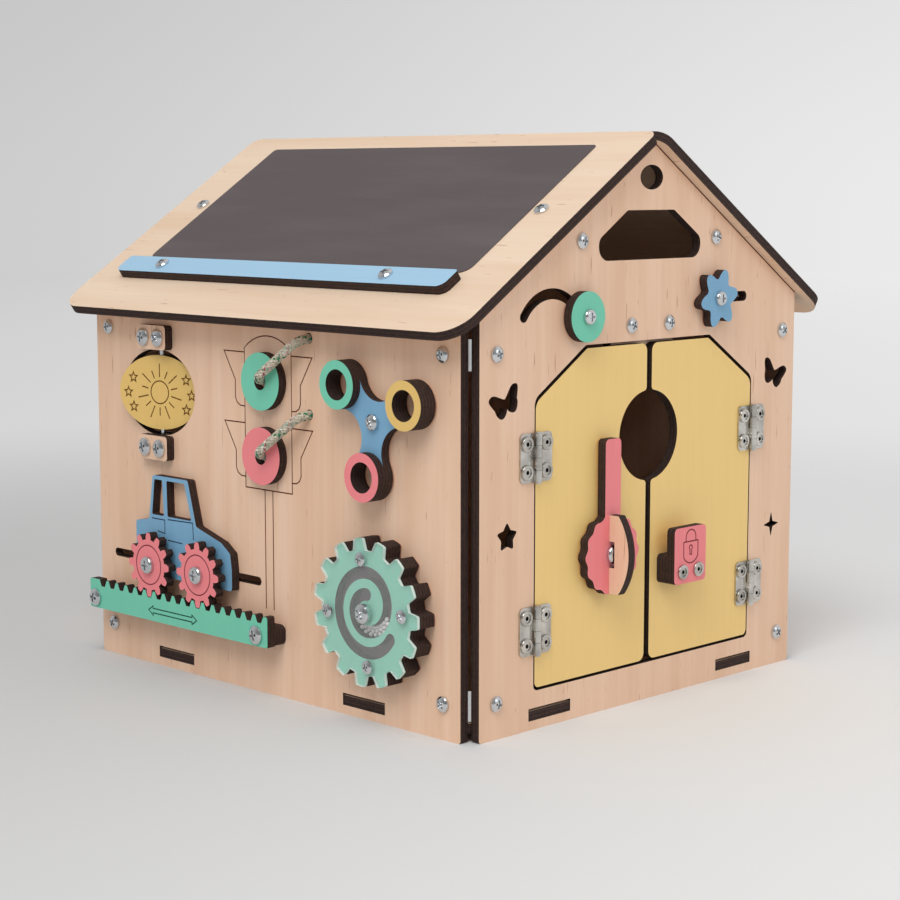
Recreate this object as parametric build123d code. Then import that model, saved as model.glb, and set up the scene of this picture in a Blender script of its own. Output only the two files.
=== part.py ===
from build123d import *
import math
import os

os.makedirs("parts", exist_ok=True)

# Plywood house: sheet, walls and roof
sheet = 6.0
gable_width = 300.0
side_length = 345.0
corner_gap = 1.5
panel_corner = 2.0
apex_height = 346.0
roof_pitch = 33.0
roof_gap = 0.6
roof_slope_length = 207.2
roof_overhang = 15.0
roof_corner = 18.0
roof_ridge_corner = 8.0

# Floor panel and its tabs
floor_lift = 5.5
floor_gap = 0.2
tab_width = 36.4
tab_slot_width = 37.0
tab_slot_height = 7.5
tab_recess = 0.4
gable_tab_x = 89.5
side_tab_y = 91.0

# Chalkboard and chalk rail on the left roof half
board_top = 15.5
board_bottom = 151.5
board_width = 300.6
board_thick = 0.6
board_top_corner = 2.5
board_corner = 8.0
rail_top = 156.0
rail_height = 17.0
rail_length = 310.0
rail_shift = 4.0
rail_corner = 6.0
rail_top_corner = 2.5
rail_screw_front = 98.0
rail_screw_rear = 116.0

# Screws, nuts and washers
small_head = 8.2
small_head_high = 2.2
small_shank = 3.0
medium_head = 9.4
medium_head_high = 3.0
medium_shank = 4.0
large_head = 11.6
large_head_high = 3.4
large_shank = 5.0
dome_share = 0.62
cross_length_share = 0.56
cross_width_share = 0.13
cross_depth_share = 0.45
hole_play = 0.3
run_play = 0.16
nut_flats = 8.0
nut_high = 3.6
nut_play = 0.1
shank_past_nut = 1.2
washer_thick = 1.0
washer_width = 14.0

# Steel brackets
bracket_thick = 1.5
bracket_leg = 23.0
bracket_wide = 18.0
bracket_bend = 2.2
bracket_hole = 15.3
corner_screw_low = 21.4
corner_screw_drop = 19.0
roof_bracket_slope = 86.0

# Door opening, leaves and stop
door_half = 104.0
door_bottom = 23.25
door_shoulder = 196.0
door_drop = 18.0
door_top_half = 59.3
door_corner = 3.5
door_shoulder_corner = 8.0
door_side_gap = 1.0
door_bottom_gap = 1.8
door_top_gap = 2.0
door_middle_gap = 4.8
leaf_corner = 5.0
porthole_radius = 28.0
porthole_drop = 58.75
porthole_blend = 2.5
stop_half = 30.0
stop_overlap = 9.0
stop_rise = 21.0
stop_screw_x = 18.0
stop_screw_rise = 9.5
stop_corner = 3.0
stop_screw_reach = 11.0

# Openings of the front gable
oval_long = 21.5
oval_high = 15.0
oval_drop = 22.5
window_drop = 42.2
window_high = 29.8
window_top_half = 22.1
window_half = 48.4
window_top_corner = 3.0
window_shoulder_corner = 6.5
window_corner = 8.5
butterfly_x = 128.4
butterfly_drop = 29.7
butterfly_tilt = 20.0
upper_wing = ((0.0, 2.8), (5.3, 6.6), (9.8, 8.4), (12.4, 7.1), (11.9, 3.6), (9.7, -0.6))
lower_wing = ((9.7, -0.6), (9.0, -4.1), (5.4, -7.4), (2.4, -6.4), (0.0, -3.3))
five_star_x = -127.0
five_star_z = 117.7
five_star_radius = 9.1
five_star_valley_share = 0.58
five_star_round = 1.0
four_star_x = 128.75
four_star_z = 95.5
four_star_radius = 8.6
four_star_valley_share = 0.3
four_star_round = 0.3

# Hinges and tubular rivets
hinge_height = 29.0
hinge_leaf_width = 13.5
hinge_thick = 1.2
hinge_corner = 3.0
hinge_drop = 62.7
hinge_low_z = 60.0
barrel_radius = 2.4
barrel_lift = 2.6
barrel_clear = 0.35
knuckle_count = 4
knuckle_gap = 0.2
pin_radius = 1.2
pin_play = 0.05
pin_head_radius = 2.0
pin_head_high = 0.8
rivet_x = 8.3
rivet_z = 8.25
rivet_head = 9.3
rivet_head_high = 1.6
rivet_dish = 5.6
rivet_dish_deep = 0.7
rivet_eye = 2.6
rivet_shank = 4.0
rivet_back = 7.0
rivet_back_high = 0.9
rivet_edge = 0.6

# Round slider in the arc slot
arc_x = -90.0
arc_rise = 3.0
arc_radius = 28.5
arc_slot_from = 12.0
arc_slot_to = 146.0
arc_rest = 30.0
slider_slot = 6.4
slider_shank = 5.8
slider_disc_radius = 15.0
slider_lift = 1.0

# Star slider in the angled slot
star_x = 60.0
star_low_rise = 8.5
star_high_rise = 23.0
star_far = 94.0
star_outer = 18.7
star_valley = 12.2
star_lobes = 6
star_turn = 10.0
wave_steps = 8

# Latch on the left leaf and keeper on the right leaf
latch_x = -42.0
latch_z = 98.3
latch_lift = 1.5
latch_radius = 23.9
latch_wave = 0.8
latch_waves = 14
arm_width = 14.2
arm_reach = 70.0
arm_corner = 3.0
tongue_inner = 8.0
tongue_outer = 18.0
tongue_play = 0.15
tab_length = 48.0
tab_end_rise = 7.0
tab_rise = 15.0
tab_notch_rise = 4.0
keeper_left = 9.6
keeper_right = 40.8
keeper_low = 72.4
keeper_high = 107.8
keeper_spacer_high = 90.6
keeper_pad = 2.0
keeper_corner = 3.0
keeper_rivet_places = (17.4, 32.9)
keeper_rivet_z = 80.0

# Turning oval plate in the left wall
flip_y = 105.0
flip_drop = 59.5
flip_hole_long = 75.0
flip_hole_high = 57.0
flip_long = 69.0
flip_high = 49.0
flip_turn = 12.0
axle_width = 3.0
axle_below = 41.5
axle_above = 42.5
block_long = 30.0
block_high = 16.0
block_corner = 2.5
block_above = 36.5
block_below = 36.0
block_screw_spacing = 15.2
block_screw_reach = 16.5

# Lamp discs, ropes and knots
lamp_y = -5.0
lamp_drops = (44.5, 91.0)
lamp_radius = 18.0
lamp_hole = 5.3
lamp_lift = 0.3
rope_width = 6.0
rope_hole_play = 0.5
rope_start_y = -44.0
rope_start_rise = 28.5
rope_leave = 7.5
rope_over = 12.5
rope_bend_share = 0.45
knot_radius = 7.5
knot_high = 11.0
knot_round = 4.5

# Three-armed spinner
spinner_y = -109.0
spinner_drop = 61.0
spinner_arm = 33.0
spinner_turn = 38.2
spinner_lift = 1.5
ring_radius = 14.6
ring_hole = 9.2
waist_radius = 16.65
arm_count = 3

# Toothed wheel with the spiral channel
gear_y = -108.0
gear_z = 69.5
gear_teeth = 15
gear_outer = 44.6
gear_root = 37.5
gear_tip_wide = 7.6
gear_base_wide = 10.6
gear_round = 1.2
gear_turn = 0.7
gear_lift = 1.0
cover_thick = 2.0
cover_screw_radius = 32.0
cover_screw_turn = 5.0
cover_screw_count = 4
cover_screw_reach = 12.5
channel_width = 7.5
channel_outer = 24.0
channel_middle = 17.65
channel_inner = 11.15
channel_start = -33.0
channel_sweep = -237.0
bead_radius = 1.35
bead_row = 2.3
bead_step = 3.5
bead_float = 0.05
beads_inner = 4
beads_outer = 5

# Tractor, its wheels and the rack
tractor_rear = 124.0
tractor_low = 62.5
tractor_long = 99.6
tractor_high = 66.8
tractor_lift = 0.5
tractor_round = 2.2
tractor_window_round = 1.2
body_shares = ((0.0, 0.0), (0.0, 0.52), (0.145, 0.558), (0.188, 1.0), (0.56, 1.0),
               (0.642, 0.561), (0.897, 0.45), (0.985, 0.36), (1.0, 0.2), (1.0, 0.0))
rear_window_shares = ((0.177, 0.608), (0.207, 0.962), (0.29, 0.962), (0.304, 0.608))
front_window_shares = ((0.343, 0.608), (0.336, 0.962), (0.523, 0.962), (0.594, 0.608))
wheel_rear_y = 100.0
wheel_z = 71.0
wheel_teeth = 12
tooth_pitch = 10.2
wheelbase_pitches = 5
pressure_angle = 25.0
wheel_addendum = 1.8
rack_addendum = 2.2
tooth_clearance = 0.5
wheel_tooth_share = 0.47
rack_tooth_share = 0.43
flank_steps = 5
wheel_washer = 2.5
slot_low_y = 3.0
slot_high_y = 156.8
slot_width = 5.6
rack_low_y = -19.9
rack_high_y = 165.7
rack_bottom = 34.0
rack_corner = 1.6
rack_gaps_before = 11
rack_gaps_after = 5
rack_spacer_top = 46.5
rack_spacer_corner = 4.0
rack_screw_places = (159.0, -9.5)
rack_screw_z = 41.2
rack_screw_reach = 20.5

# Sizes that follow from the ones above
pitch = math.radians(roof_pitch)
wall_x = gable_width / 2 + corner_gap
side_face = wall_x + sheet
wall_y = side_length / 2 + corner_gap
gable_face = wall_y + sheet
gable_eave = apex_height - gable_width / 2 * math.tan(pitch)
side_height = apex_height - side_face * math.tan(pitch) - roof_gap / math.cos(pitch)
roof_length = side_length + 2 * roof_overhang
corner_screw_high = side_height - corner_screw_drop
door_top = side_height - door_drop
door_slope = math.atan2(door_top - door_shoulder, door_half - door_top_half)
porthole_height = door_top - porthole_drop
stop_low = door_top - stop_overlap
stop_high = door_top + stop_rise
stop_screw_z = door_top + stop_screw_rise
oval_z = apex_height - oval_drop
window_top = apex_height - window_drop
window_bottom = window_top - window_high
butterfly_z = door_top - butterfly_drop
hinge_z_places = (door_top - hinge_drop, hinge_low_z)
arc_z = door_top + arc_rise
star_low = door_top + star_low_rise
star_high = door_top + star_high_rise
flip_z = side_height - flip_drop
axle_low = flip_z - axle_below
axle_high = flip_z + axle_above
block_z_places = (flip_z + block_above, flip_z - block_below)
lamp_z_places = [side_height - drop for drop in lamp_drops]
spinner_z = side_height - spinner_drop
hinge_x = door_half - door_side_gap / 2
leaf_half = door_half - door_side_gap
arm_top = latch_lift + sheet + tab_rise
shift_y = (gable_face + arm_top - roof_length / 2) / 2
wheel_pitch_radius = wheel_teeth * tooth_pitch / (2 * math.pi)
wheel_front_y = wheel_rear_y - wheelbase_pitches * tooth_pitch
rack_pitch_z = wheel_z - wheel_pitch_radius
wheel_low = tractor_lift + sheet + wheel_washer

# Work planes: left wall, front gable and left roof underside
side = Plane(origin=(-side_face, 0, 0), x_dir=(0, -1, 0), z_dir=(-1, 0, 0))
front = Plane(origin=(0, -gable_face, 0), x_dir=(1, 0, 0), z_dir=(0, -1, 0))
slope = Plane(origin=(0, 0, apex_height), x_dir=(0, -1, 0), z_dir=(-math.sin(pitch), 0, math.cos(pitch)))


# Writes one named node, moved so that the whole stands over the origin
def save(name, *solids):
    placed = [Pos(0, shift_y, 0) * part for part in solids]
    flat = [body for part in placed for body in part.solids()]
    shape = flat[0] if len(flat) == 1 else Compound(flat)
    shape.label = name
    export_step(shape, "parts/" + name + ".step")


# A flat piece cut from sheet, raised off its work plane
def plate(sketch, thick, low=0):
    return Pos(0, 0, low) * extrude(sketch, amount=thick)


# A closed outline with one rounding for each point
def outline(points, radii):
    return make_face(FilletPolyline(*points, radius=radii, close=True))


def polar(radius, angle):
    return (radius * math.cos(angle), radius * math.sin(angle))


# A closed wavy outline round its middle
def wavy(middle, wave, count, turn):
    steps = count * wave_steps
    angles = [2 * math.pi * k / steps for k in range(steps)]
    points = [polar(middle + wave * math.cos(count * (a - turn)), a) for a in angles]
    return make_face(Spline(*points, periodic=True))


# A pointed star with one outer and one inner radius
def star_points(count, outer, valley, turn):
    half = math.pi / count
    return [polar(outer if k % 2 == 0 else valley, turn + k * half) for k in range(2 * count)]


def ring(outer, inner, thick, low):
    return plate(Circle(outer) - Circle(inner), thick, low)


# A pan-head screw whose head rests at zero
def screw(head, high, shank, reach):
    top = plate(Circle(head / 2), high)
    top = fillet(top.edges().group_by(Axis.Z)[-1], high * dome_share)
    slot = Box(head * cross_length_share, head * cross_width_share, 2 * high * cross_depth_share)
    cross = Pos(0, 0, high) * (slot + Rot(0, 0, 90) * slot)
    return top + plate(Circle(shank / 2), reach, -reach) - cross


def medium_screw(reach):
    return screw(medium_head, medium_head_high, medium_shank, reach)


def large_screw(reach):
    return screw(large_head, large_head_high, large_shank, reach)


def nut(shank, top):
    hexagon = RegularPolygon(nut_flats / 2, 6, major_radius=False)
    return plate(hexagon - Circle((shank + nut_play) / 2), nut_high, top - nut_high)


def washer(shank, thick, low, wide=washer_width):
    return ring(wide / 2, (shank + run_play) / 2, thick, low)


# The mirror copies of a piece in all four corners of the house
def four(part):
    right = mirror(part, about=Plane.YZ)
    return [part, right, mirror(part, about=Plane.XZ), mirror(right, about=Plane.XZ)]


def pair(part):
    return [part, mirror(part, about=Plane.YZ)]


# A face with teeth from places on one flank, each a radius and a half angle
def toothed(teeth, flank, turn):
    step = 2 * math.pi / teeth
    edges = []
    for k in range(teeth):
        mid = turn + k * step
        rise = [polar(r, mid - a) for r, a in flank]
        fall = [polar(r, mid + a) for r, a in reversed(flank)]
        bend = Line if len(flank) == 2 else Spline
        tip = ThreePointArc(rise[-1], polar(flank[-1][0], mid), fall[0])
        next_root = polar(flank[0][0], mid + step - flank[0][1])
        root = ThreePointArc(fall[-1], polar(flank[0][0], mid + step / 2), next_root)
        edges += [bend(*rise), tip, bend(*fall), root]
    return make_face(Curve() + edges)


# Left side wall with the openings for the activities
def side_panel():
    panel = Rectangle(side_length, side_height, align=(Align.CENTER, Align.MIN))
    panel = fillet(panel.vertices(), panel_corner)
    hole = Circle((medium_shank + hole_play) / 2)
    y = side_length / 2 + corner_gap - bracket_hole
    for u in (-y, y):
        panel -= Pos(u, corner_screw_low) * hole
        panel -= Pos(u, corner_screw_high) * hole
    tab = Rectangle(tab_slot_width, tab_slot_height, align=(Align.CENTER, Align.MIN))
    for u in (-side_tab_y, side_tab_y):
        panel -= Pos(u, floor_lift) * tab
    return panel


panel = side_panel()
save("side_wall_right", mirror(side * plate(panel, sheet, -sheet), about=Plane.YZ))

panel -= Pos(-flip_y, flip_z) * Ellipse(flip_hole_long / 2, flip_hole_high / 2)
panel -= Pos(-flip_y, (axle_low + axle_high) / 2) * Rectangle(axle_width, axle_high - axle_low)
block_places = [(-flip_y + sign * block_screw_spacing / 2, z) for z in block_z_places for sign in (-1, 1)]
for u, v in block_places + [(-y, rack_screw_z) for y in rack_screw_places]:
    panel -= Pos(u, v) * Circle((large_shank + hole_play) / 2)
rope_hole = Circle((rope_width + rope_hole_play) / 2)
for z in lamp_z_places:
    panel -= Pos(-lamp_y, z) * rope_hole
    panel -= Pos(-rope_start_y, z + rope_start_rise) * rope_hole
panel -= Pos(-spinner_y, spinner_z) * Circle((medium_shank + hole_play) / 2)
panel -= Pos(-gear_y, gear_z) * Circle((large_shank + hole_play) / 2)
slot_mid = -(slot_low_y + slot_high_y) / 2
panel -= Pos(slot_mid, wheel_z) * SlotOverall(slot_high_y - slot_low_y, slot_width)
save("side_wall_left", side * plate(panel, sheet, -sheet))


# Gables: one outline for both, openings only in the front one
def gable_panel():
    half = gable_width / 2
    points = ((-half, 0), (half, 0), (half, gable_eave), (0, apex_height), (-half, gable_eave))
    panel = outline(points, (panel_corner, panel_corner, panel_corner, 0, panel_corner))
    hole = Circle((medium_shank + hole_play) / 2)
    x = gable_width / 2 + corner_gap - bracket_hole
    bracket_x = roof_bracket_slope * math.cos(pitch) - bracket_hole * math.sin(pitch)
    bracket_z = apex_height - roof_bracket_slope * math.sin(pitch) - bracket_hole * math.cos(pitch)
    tab = Rectangle(tab_slot_width, tab_slot_height, align=(Align.CENTER, Align.MIN))
    for sign in (-1, 1):
        panel -= Pos(sign * x, corner_screw_low) * hole
        panel -= Pos(sign * x, corner_screw_high) * hole
        panel -= Pos(sign * bracket_x, bracket_z) * hole
        panel -= Pos(sign * gable_tab_x, floor_lift) * tab
    return panel


panel = gable_panel()
save("gable_back", mirror(front * plate(panel, sheet, -sheet), about=Plane.XZ))

door_points = ((-door_half, door_bottom), (door_half, door_bottom), (door_half, door_shoulder),
               (door_top_half, door_top), (-door_top_half, door_top), (-door_half, door_shoulder))
door_radii = (door_corner, door_corner, door_shoulder_corner, door_corner, door_corner, door_shoulder_corner)
panel -= outline(door_points, door_radii)
panel -= Pos(0, oval_z) * Ellipse(oval_long / 2, oval_high / 2)
window_shoulder = window_top - (window_half - window_top_half) * math.tan(pitch)
window_points = ((-window_half, window_bottom), (window_half, window_bottom),
                 (window_half, window_shoulder), (window_top_half, window_top),
                 (-window_top_half, window_top), (-window_half, window_shoulder))
window_radii = (window_corner, window_corner, window_shoulder_corner,
                window_top_corner, window_top_corner, window_shoulder_corner)
panel -= outline(window_points, window_radii)
arc_sweep = arc_slot_to - arc_slot_from
panel -= SlotArc(CenterArc((arc_x, arc_z), arc_radius, arc_slot_from, arc_sweep), slider_slot)
star_rise = star_high - star_low
star_run = star_far - star_x
panel -= Pos(star_x, star_low + star_rise / 2) * Rot(0, 0, 90) * SlotCenterToCenter(star_rise, slider_slot)
panel -= Pos(star_x + star_run / 2, star_high) * SlotCenterToCenter(star_run, slider_slot)
wing_edges = [Spline(*upper_wing), Spline(*lower_wing)]
wing_edges += [mirror(edge, about=Plane.YZ) for edge in wing_edges]
butterfly = make_face(wing_edges)
for sign in (-1, 1):
    panel -= Pos(sign * butterfly_x, butterfly_z) * Rot(0, 0, -sign * butterfly_tilt) * butterfly
five = star_points(5, five_star_radius, five_star_radius * five_star_valley_share, math.pi / 2)
panel -= Pos(five_star_x, five_star_z) * outline(five, five_star_round)
four_point = star_points(4, four_star_radius, four_star_radius * four_star_valley_share, math.pi / 2)
panel -= Pos(four_star_x, four_star_z) * outline(four_point, four_star_round)
rivet_hole = Circle((rivet_shank + hole_play) / 2)
for sign in (-1, 1):
    panel -= Pos(sign * stop_screw_x, stop_screw_z) * Circle((medium_shank + hole_play) / 2)
    for z in hinge_z_places:
        panel -= Pos(sign * (hinge_x + rivet_x), z + rivet_z) * rivet_hole
        panel -= Pos(sign * (hinge_x + rivet_x), z - rivet_z) * rivet_hole
save("gable_front", front * plate(panel, sheet, -sheet))

# Floor with tabs through all four walls
floor = Rectangle(2 * (wall_x - floor_gap), 2 * (wall_y - floor_gap))
for sign in (-1, 1):
    for place in (-1, 1):
        reach = sheet + floor_gap - tab_recess
        side_at = sign * (wall_x - floor_gap + reach / 2)
        gable_at = sign * (wall_y - floor_gap + reach / 2)
        floor += Pos(side_at, place * side_tab_y) * Rectangle(reach, tab_width)
        floor += Pos(place * gable_tab_x, gable_at) * Rectangle(tab_width, reach)
save("floor_panel", plate(floor, sheet, floor_lift))

# Roof halves with rounded eave corners
half_roof = roof_length / 2
roof_points = ((-half_roof, 0), (-half_roof, -roof_slope_length),
               (half_roof, -roof_slope_length), (half_roof, 0))
roof_face = outline(roof_points, (roof_ridge_corner, roof_corner, roof_corner, roof_ridge_corner))
roof_screw_y = wall_y - bracket_hole
for u in (-roof_screw_y, roof_screw_y):
    roof_face -= Pos(u, -roof_bracket_slope) * Circle((medium_shank + hole_play) / 2)
save("roof_right", mirror(slope * plate(roof_face, sheet), about=Plane.YZ))
rail_mid = rail_top + rail_height / 2
rail_hole = Circle((medium_shank + hole_play) / 2)
rail_places = (Pos(-rail_screw_rear, -rail_mid), Pos(rail_screw_front, -rail_mid))
for place in rail_places:
    roof_face -= place * rail_hole
save("roof_left", slope * plate(roof_face, sheet))

half_board = board_width / 2
board_points = ((-half_board, -board_top), (-half_board, -board_bottom),
                (half_board, -board_bottom), (half_board, -board_top))
board = outline(board_points, (board_top_corner, board_corner, board_corner, board_top_corner))
save("chalkboard", slope * plate(board, board_thick, sheet))
rail_rear = -rail_shift - rail_length / 2
rail_front = rail_rear + rail_length
rail_bottom = rail_top + rail_height
rail_points = ((rail_rear, -rail_top), (rail_rear, -rail_bottom),
               (rail_front, -rail_bottom), (rail_front, -rail_top))
rail = outline(rail_points, (rail_top_corner, rail_corner, rail_corner, rail_top_corner))
for place in rail_places:
    rail -= place * rail_hole
save("chalk_rail", slope * plate(rail, sheet, sheet))


# Steel angle brackets with a rounded bend
def bracket():
    t = bracket_thick
    points = ((0, 0), (bracket_leg, 0), (bracket_leg, t), (t, t), (t, bracket_leg), (0, bracket_leg))
    section = outline(points, (bracket_bend, 0, 0, bracket_bend - t, 0, 0))
    angle = extrude(section, amount=bracket_wide / 2, both=True)
    hole = Cylinder((medium_shank + hole_play) / 2, bracket_leg)
    angle -= Pos(bracket_hole, 0, 0) * Rot(90, 0, 0) * hole
    angle -= Pos(0, bracket_hole, 0) * Rot(0, 90, 0) * hole
    return angle


corner_brackets = []
wall_screws = []
nuts = []
grip = sheet + bracket_thick
bolt_reach = grip + nut_high + shank_past_nut
for z in (corner_screw_low, corner_screw_high):
    corner_brackets += four(Plane(origin=(-wall_x, -wall_y, z)) * bracket())
    for place in (side * Pos(wall_y - bracket_hole, z), front * Pos(-wall_x + bracket_hole, z)):
        wall_screws += four(place * medium_screw(bolt_reach))
        nuts += four(place * nut(medium_shank, -grip))
save("corner_brackets", *corner_brackets)

bend = (-roof_bracket_slope * math.cos(pitch), -wall_y, apex_height - roof_bracket_slope * math.sin(pitch))
down = (-math.cos(pitch), 0, -math.sin(pitch))
roof_bracket = Plane(origin=bend, x_dir=(0, 1, 0), z_dir=down) * bracket()
save("roof_brackets", *four(roof_bracket))
gable_place = front * Pos(bend[0] + bracket_hole * math.sin(pitch), bend[2] - bracket_hole * math.cos(pitch))
roof_place = slope * Pos(roof_screw_y, -roof_bracket_slope, sheet)
for place in (gable_place, roof_place):
    wall_screws += four(place * medium_screw(bolt_reach))
    nuts += four(place * nut(medium_shank, -grip))
for place in rail_places:
    wall_screws.append(slope * place * Pos(0, 0, 2 * sheet) * medium_screw(stop_screw_reach))
wall_screws += pair(front * Pos(stop_screw_x, stop_screw_z) * medium_screw(stop_screw_reach))
save("wall_screws", *wall_screws)

# Door stop inside over the leaves
stop_mid = (stop_low + stop_high) / 2
stop = Pos(0, stop_mid) * RectangleRounded(2 * stop_half, stop_high - stop_low, stop_corner)
for sign in (-1, 1):
    stop -= Pos(sign * stop_screw_x, stop_screw_z) * Circle((medium_shank + hole_play) / 2)
save("door_stop", front * plate(stop, sheet, -2 * sheet))


# One half of a hinge, drawn to the right of its pin
def hinge_half(first):
    free = barrel_radius + barrel_clear
    leaf = Pos(free, 0) * Rectangle(hinge_leaf_width - free, hinge_height, align=(Align.MIN, Align.CENTER))
    leaf = fillet(leaf.vertices().group_by(Axis.X)[-1], hinge_corner)
    for sign in (-1, 1):
        leaf -= Pos(rivet_x, sign * rivet_z) * rivet_hole
    half = plate(leaf, hinge_thick)
    length = hinge_height / knuckle_count
    wide = length - knuckle_gap
    for k in range(first, knuckle_count, 2):
        mid = -hinge_height / 2 + (k + 1 / 2) * length
        half += plate(Pos(free / 2, mid) * Rectangle(free, wide), hinge_thick)
        half += Pos(0, mid, barrel_lift) * Rot(90, 0, 0) * Cylinder(barrel_radius, wide)
    bore = Pos(0, 0, barrel_lift) * Rot(90, 0, 0) * Cylinder(pin_radius + pin_play, 2 * hinge_height)
    return half - bore


# A tubular rivet whose ring head rests at zero
def rivet(grip):
    head = plate(Circle(rivet_head / 2), rivet_head_high)
    head = fillet(head.edges().group_by(Axis.Z)[-1], rivet_edge)
    head -= plate(Circle(rivet_dish / 2), rivet_dish_deep, rivet_head_high - rivet_dish_deep)
    shank = plate(Circle(rivet_shank / 2), grip, -grip)
    back = plate(Circle(rivet_back / 2), rivet_back_high, -grip - rivet_back_high)
    eye = plate(Circle(rivet_eye / 2), rivet_head_high + grip, -grip)
    return head + shank + back - eye


hinge_places = [front * Pos(-hinge_x, z) for z in hinge_z_places]
frame_half = mirror(hinge_half(0), about=Plane.YZ)
hinge_rivet = Pos(0, 0, hinge_thick) * rivet(sheet + hinge_thick)
pin = Cylinder(pin_radius, hinge_height)
pin_head_at = (hinge_height - knuckle_gap + pin_head_high) / 2
for sign in (-1, 1):
    pin += Pos(0, 0, sign * pin_head_at) * Cylinder(pin_head_radius, pin_head_high)
pin = Pos(0, 0, barrel_lift) * Rot(90, 0, 0) * pin
frame_leaves = []
pins = []
frame_rivets = []
door_leaves = []
door_rivets = []
for place in hinge_places:
    frame_leaves += pair(place * frame_half)
    pins += pair(place * pin)
    door_leaves.append(place * hinge_half(1))
    for sign in (-1, 1):
        frame_rivets += pair(place * Pos(-rivet_x, sign * rivet_z) * hinge_rivet)
        door_rivets.append(place * Pos(rivet_x, sign * rivet_z) * hinge_rivet)
save("hinge_frame_leaves", *frame_leaves)
save("hinge_pins", *pins)
save("hinge_frame_rivets", *frame_rivets)
save("hinge_leaves_left", *door_leaves)
save("door_rivets_left", *door_rivets)
save("hinge_leaves_right", *[mirror(part, about=Plane.YZ) for part in door_leaves])

# Door leaves with the porthole shared between them
inner = -door_middle_gap / 2
drop = door_top_gap
leaf_top_half = door_top_half - drop / math.tan(door_slope) + (drop - door_side_gap) / math.sin(door_slope)
shoulder = door_top - drop - (leaf_half - leaf_top_half) * math.tan(door_slope)
leaf_low = door_bottom + door_bottom_gap
leaf_points = ((-leaf_half, leaf_low), (inner, leaf_low), (inner, door_top - drop),
               (-leaf_top_half, door_top - drop), (-leaf_half, shoulder))
leaf = outline(leaf_points, (door_corner, leaf_corner, leaf_corner, door_corner, door_shoulder_corner))
leaf -= Pos(0, porthole_height) * Circle(porthole_radius)
leaf = fillet(leaf.vertices().sort_by_distance((inner, porthole_height, 0))[:2], porthole_blend)
for z in hinge_z_places:
    for sign in (-1, 1):
        leaf -= Pos(-hinge_x + rivet_x, z + sign * rivet_z) * rivet_hole
right_leaf = mirror(leaf, about=Plane.YZ)
latch_hole = Circle((large_shank + hole_play) / 2)
leaf -= Pos(latch_x, latch_z) * latch_hole
for x in keeper_rivet_places:
    right_leaf -= Pos(x, keeper_rivet_z) * rivet_hole
save("door_left", front * plate(leaf, sheet, -sheet))
save("door_right", front * plate(right_leaf, sheet, -sheet))

# Latch disc with its arm turned up, and the finger tab across it
disc = wavy(latch_radius, latch_wave, latch_waves, 0)
half_arm = arm_width / 2
arm_points = ((-half_arm, 0), (half_arm, 0), (half_arm, arm_reach), (-half_arm, arm_reach))
disc += outline(arm_points, (0, 0, arm_corner, arm_corner))
disc -= Circle((large_shank + run_play) / 2)
tongue_mid = (tongue_inner + tongue_outer) / 2
tongue_long = tongue_outer - tongue_inner
for sign in (-1, 1):
    disc -= Pos(0, sign * tongue_mid) * Rectangle(sheet + tongue_play, tongue_long + tongue_play)
latch_place = front * Pos(latch_x, latch_z)
save("latch_disc", latch_place * plate(disc, sheet, latch_lift))

half_tab = tab_length / 2
low = latch_lift + sheet
notch_top = low + tab_notch_rise
end_top = low + tab_end_rise
tab_edges = [
    Polyline((0, notch_top), (tongue_inner, notch_top), (tongue_inner, latch_lift),
             (tongue_outer, latch_lift), (tongue_outer, low), (half_tab, low), (half_tab, end_top)),
    ThreePointArc((half_tab, end_top), (0, low + tab_rise), (-half_tab, end_top)),
    Polyline((-half_tab, end_top), (-half_tab, low), (-tongue_outer, low), (-tongue_outer, latch_lift),
             (-tongue_inner, latch_lift), (-tongue_inner, notch_top), (0, notch_top)),
]
tab_face = make_face(Curve() + tab_edges)
finger_tab = extrude(tab_face, amount=sheet / 2, both=True)
save("latch_handle", latch_place * (Plane.YZ * finger_tab))
latch_grip = low + sheet + washer_thick
latch_bolt = Pos(0, 0, low) * large_screw(latch_grip + nut_high + shank_past_nut)
behind = -sheet - washer_thick
latch_set = [latch_bolt, washer(large_shank, latch_lift, 0), washer(large_shank, washer_thick, behind),
             nut(large_shank, behind)]
save("latch_pivot", *[latch_place * part for part in latch_set])

# Keeper: two spacers under a cover that the arm turns behind
keeper_mid = (keeper_left + keeper_right) / 2
keeper_wide = keeper_right - keeper_left
spacer_high = keeper_spacer_high - keeper_low
spacer = RectangleRounded(keeper_wide, spacer_high, keeper_corner)
spacer = Pos(keeper_mid, keeper_low + spacer_high / 2) * spacer
cover_high = keeper_high - keeper_low
cover = RectangleRounded(keeper_wide, cover_high, keeper_corner)
cover = Pos(keeper_mid, keeper_low + cover_high / 2) * cover
for x in keeper_rivet_places:
    spacer -= Pos(x, keeper_rivet_z) * rivet_hole
    cover -= Pos(x, keeper_rivet_z) * rivet_hole
save("keeper_spacers", front * plate(spacer, sheet), front * plate(spacer, keeper_pad, sheet))
pocket_top = sheet + keeper_pad
save("keeper_cover", front * plate(cover, sheet, pocket_top))
right_rivets = [mirror(part, about=Plane.YZ) for part in door_rivets]
for x in keeper_rivet_places:
    keeper_rivet = Pos(0, 0, pocket_top + sheet) * rivet(pocket_top + 2 * sheet)
    right_rivets.append(front * Pos(x, keeper_rivet_z) * keeper_rivet)
save("door_rivets_right", *right_rivets)


# The bolt set that carries a slider through its slot
def slider_peg():
    grip = slider_lift + 2 * sheet + washer_thick
    bolt = screw(medium_head, medium_head_high, slider_shank, grip + nut_high + shank_past_nut)
    inside = -sheet - washer_thick
    return [Pos(0, 0, slider_lift + sheet) * bolt, washer(slider_shank, slider_lift, 0),
            washer(slider_shank, washer_thick, inside), nut(slider_shank, inside)]


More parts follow.
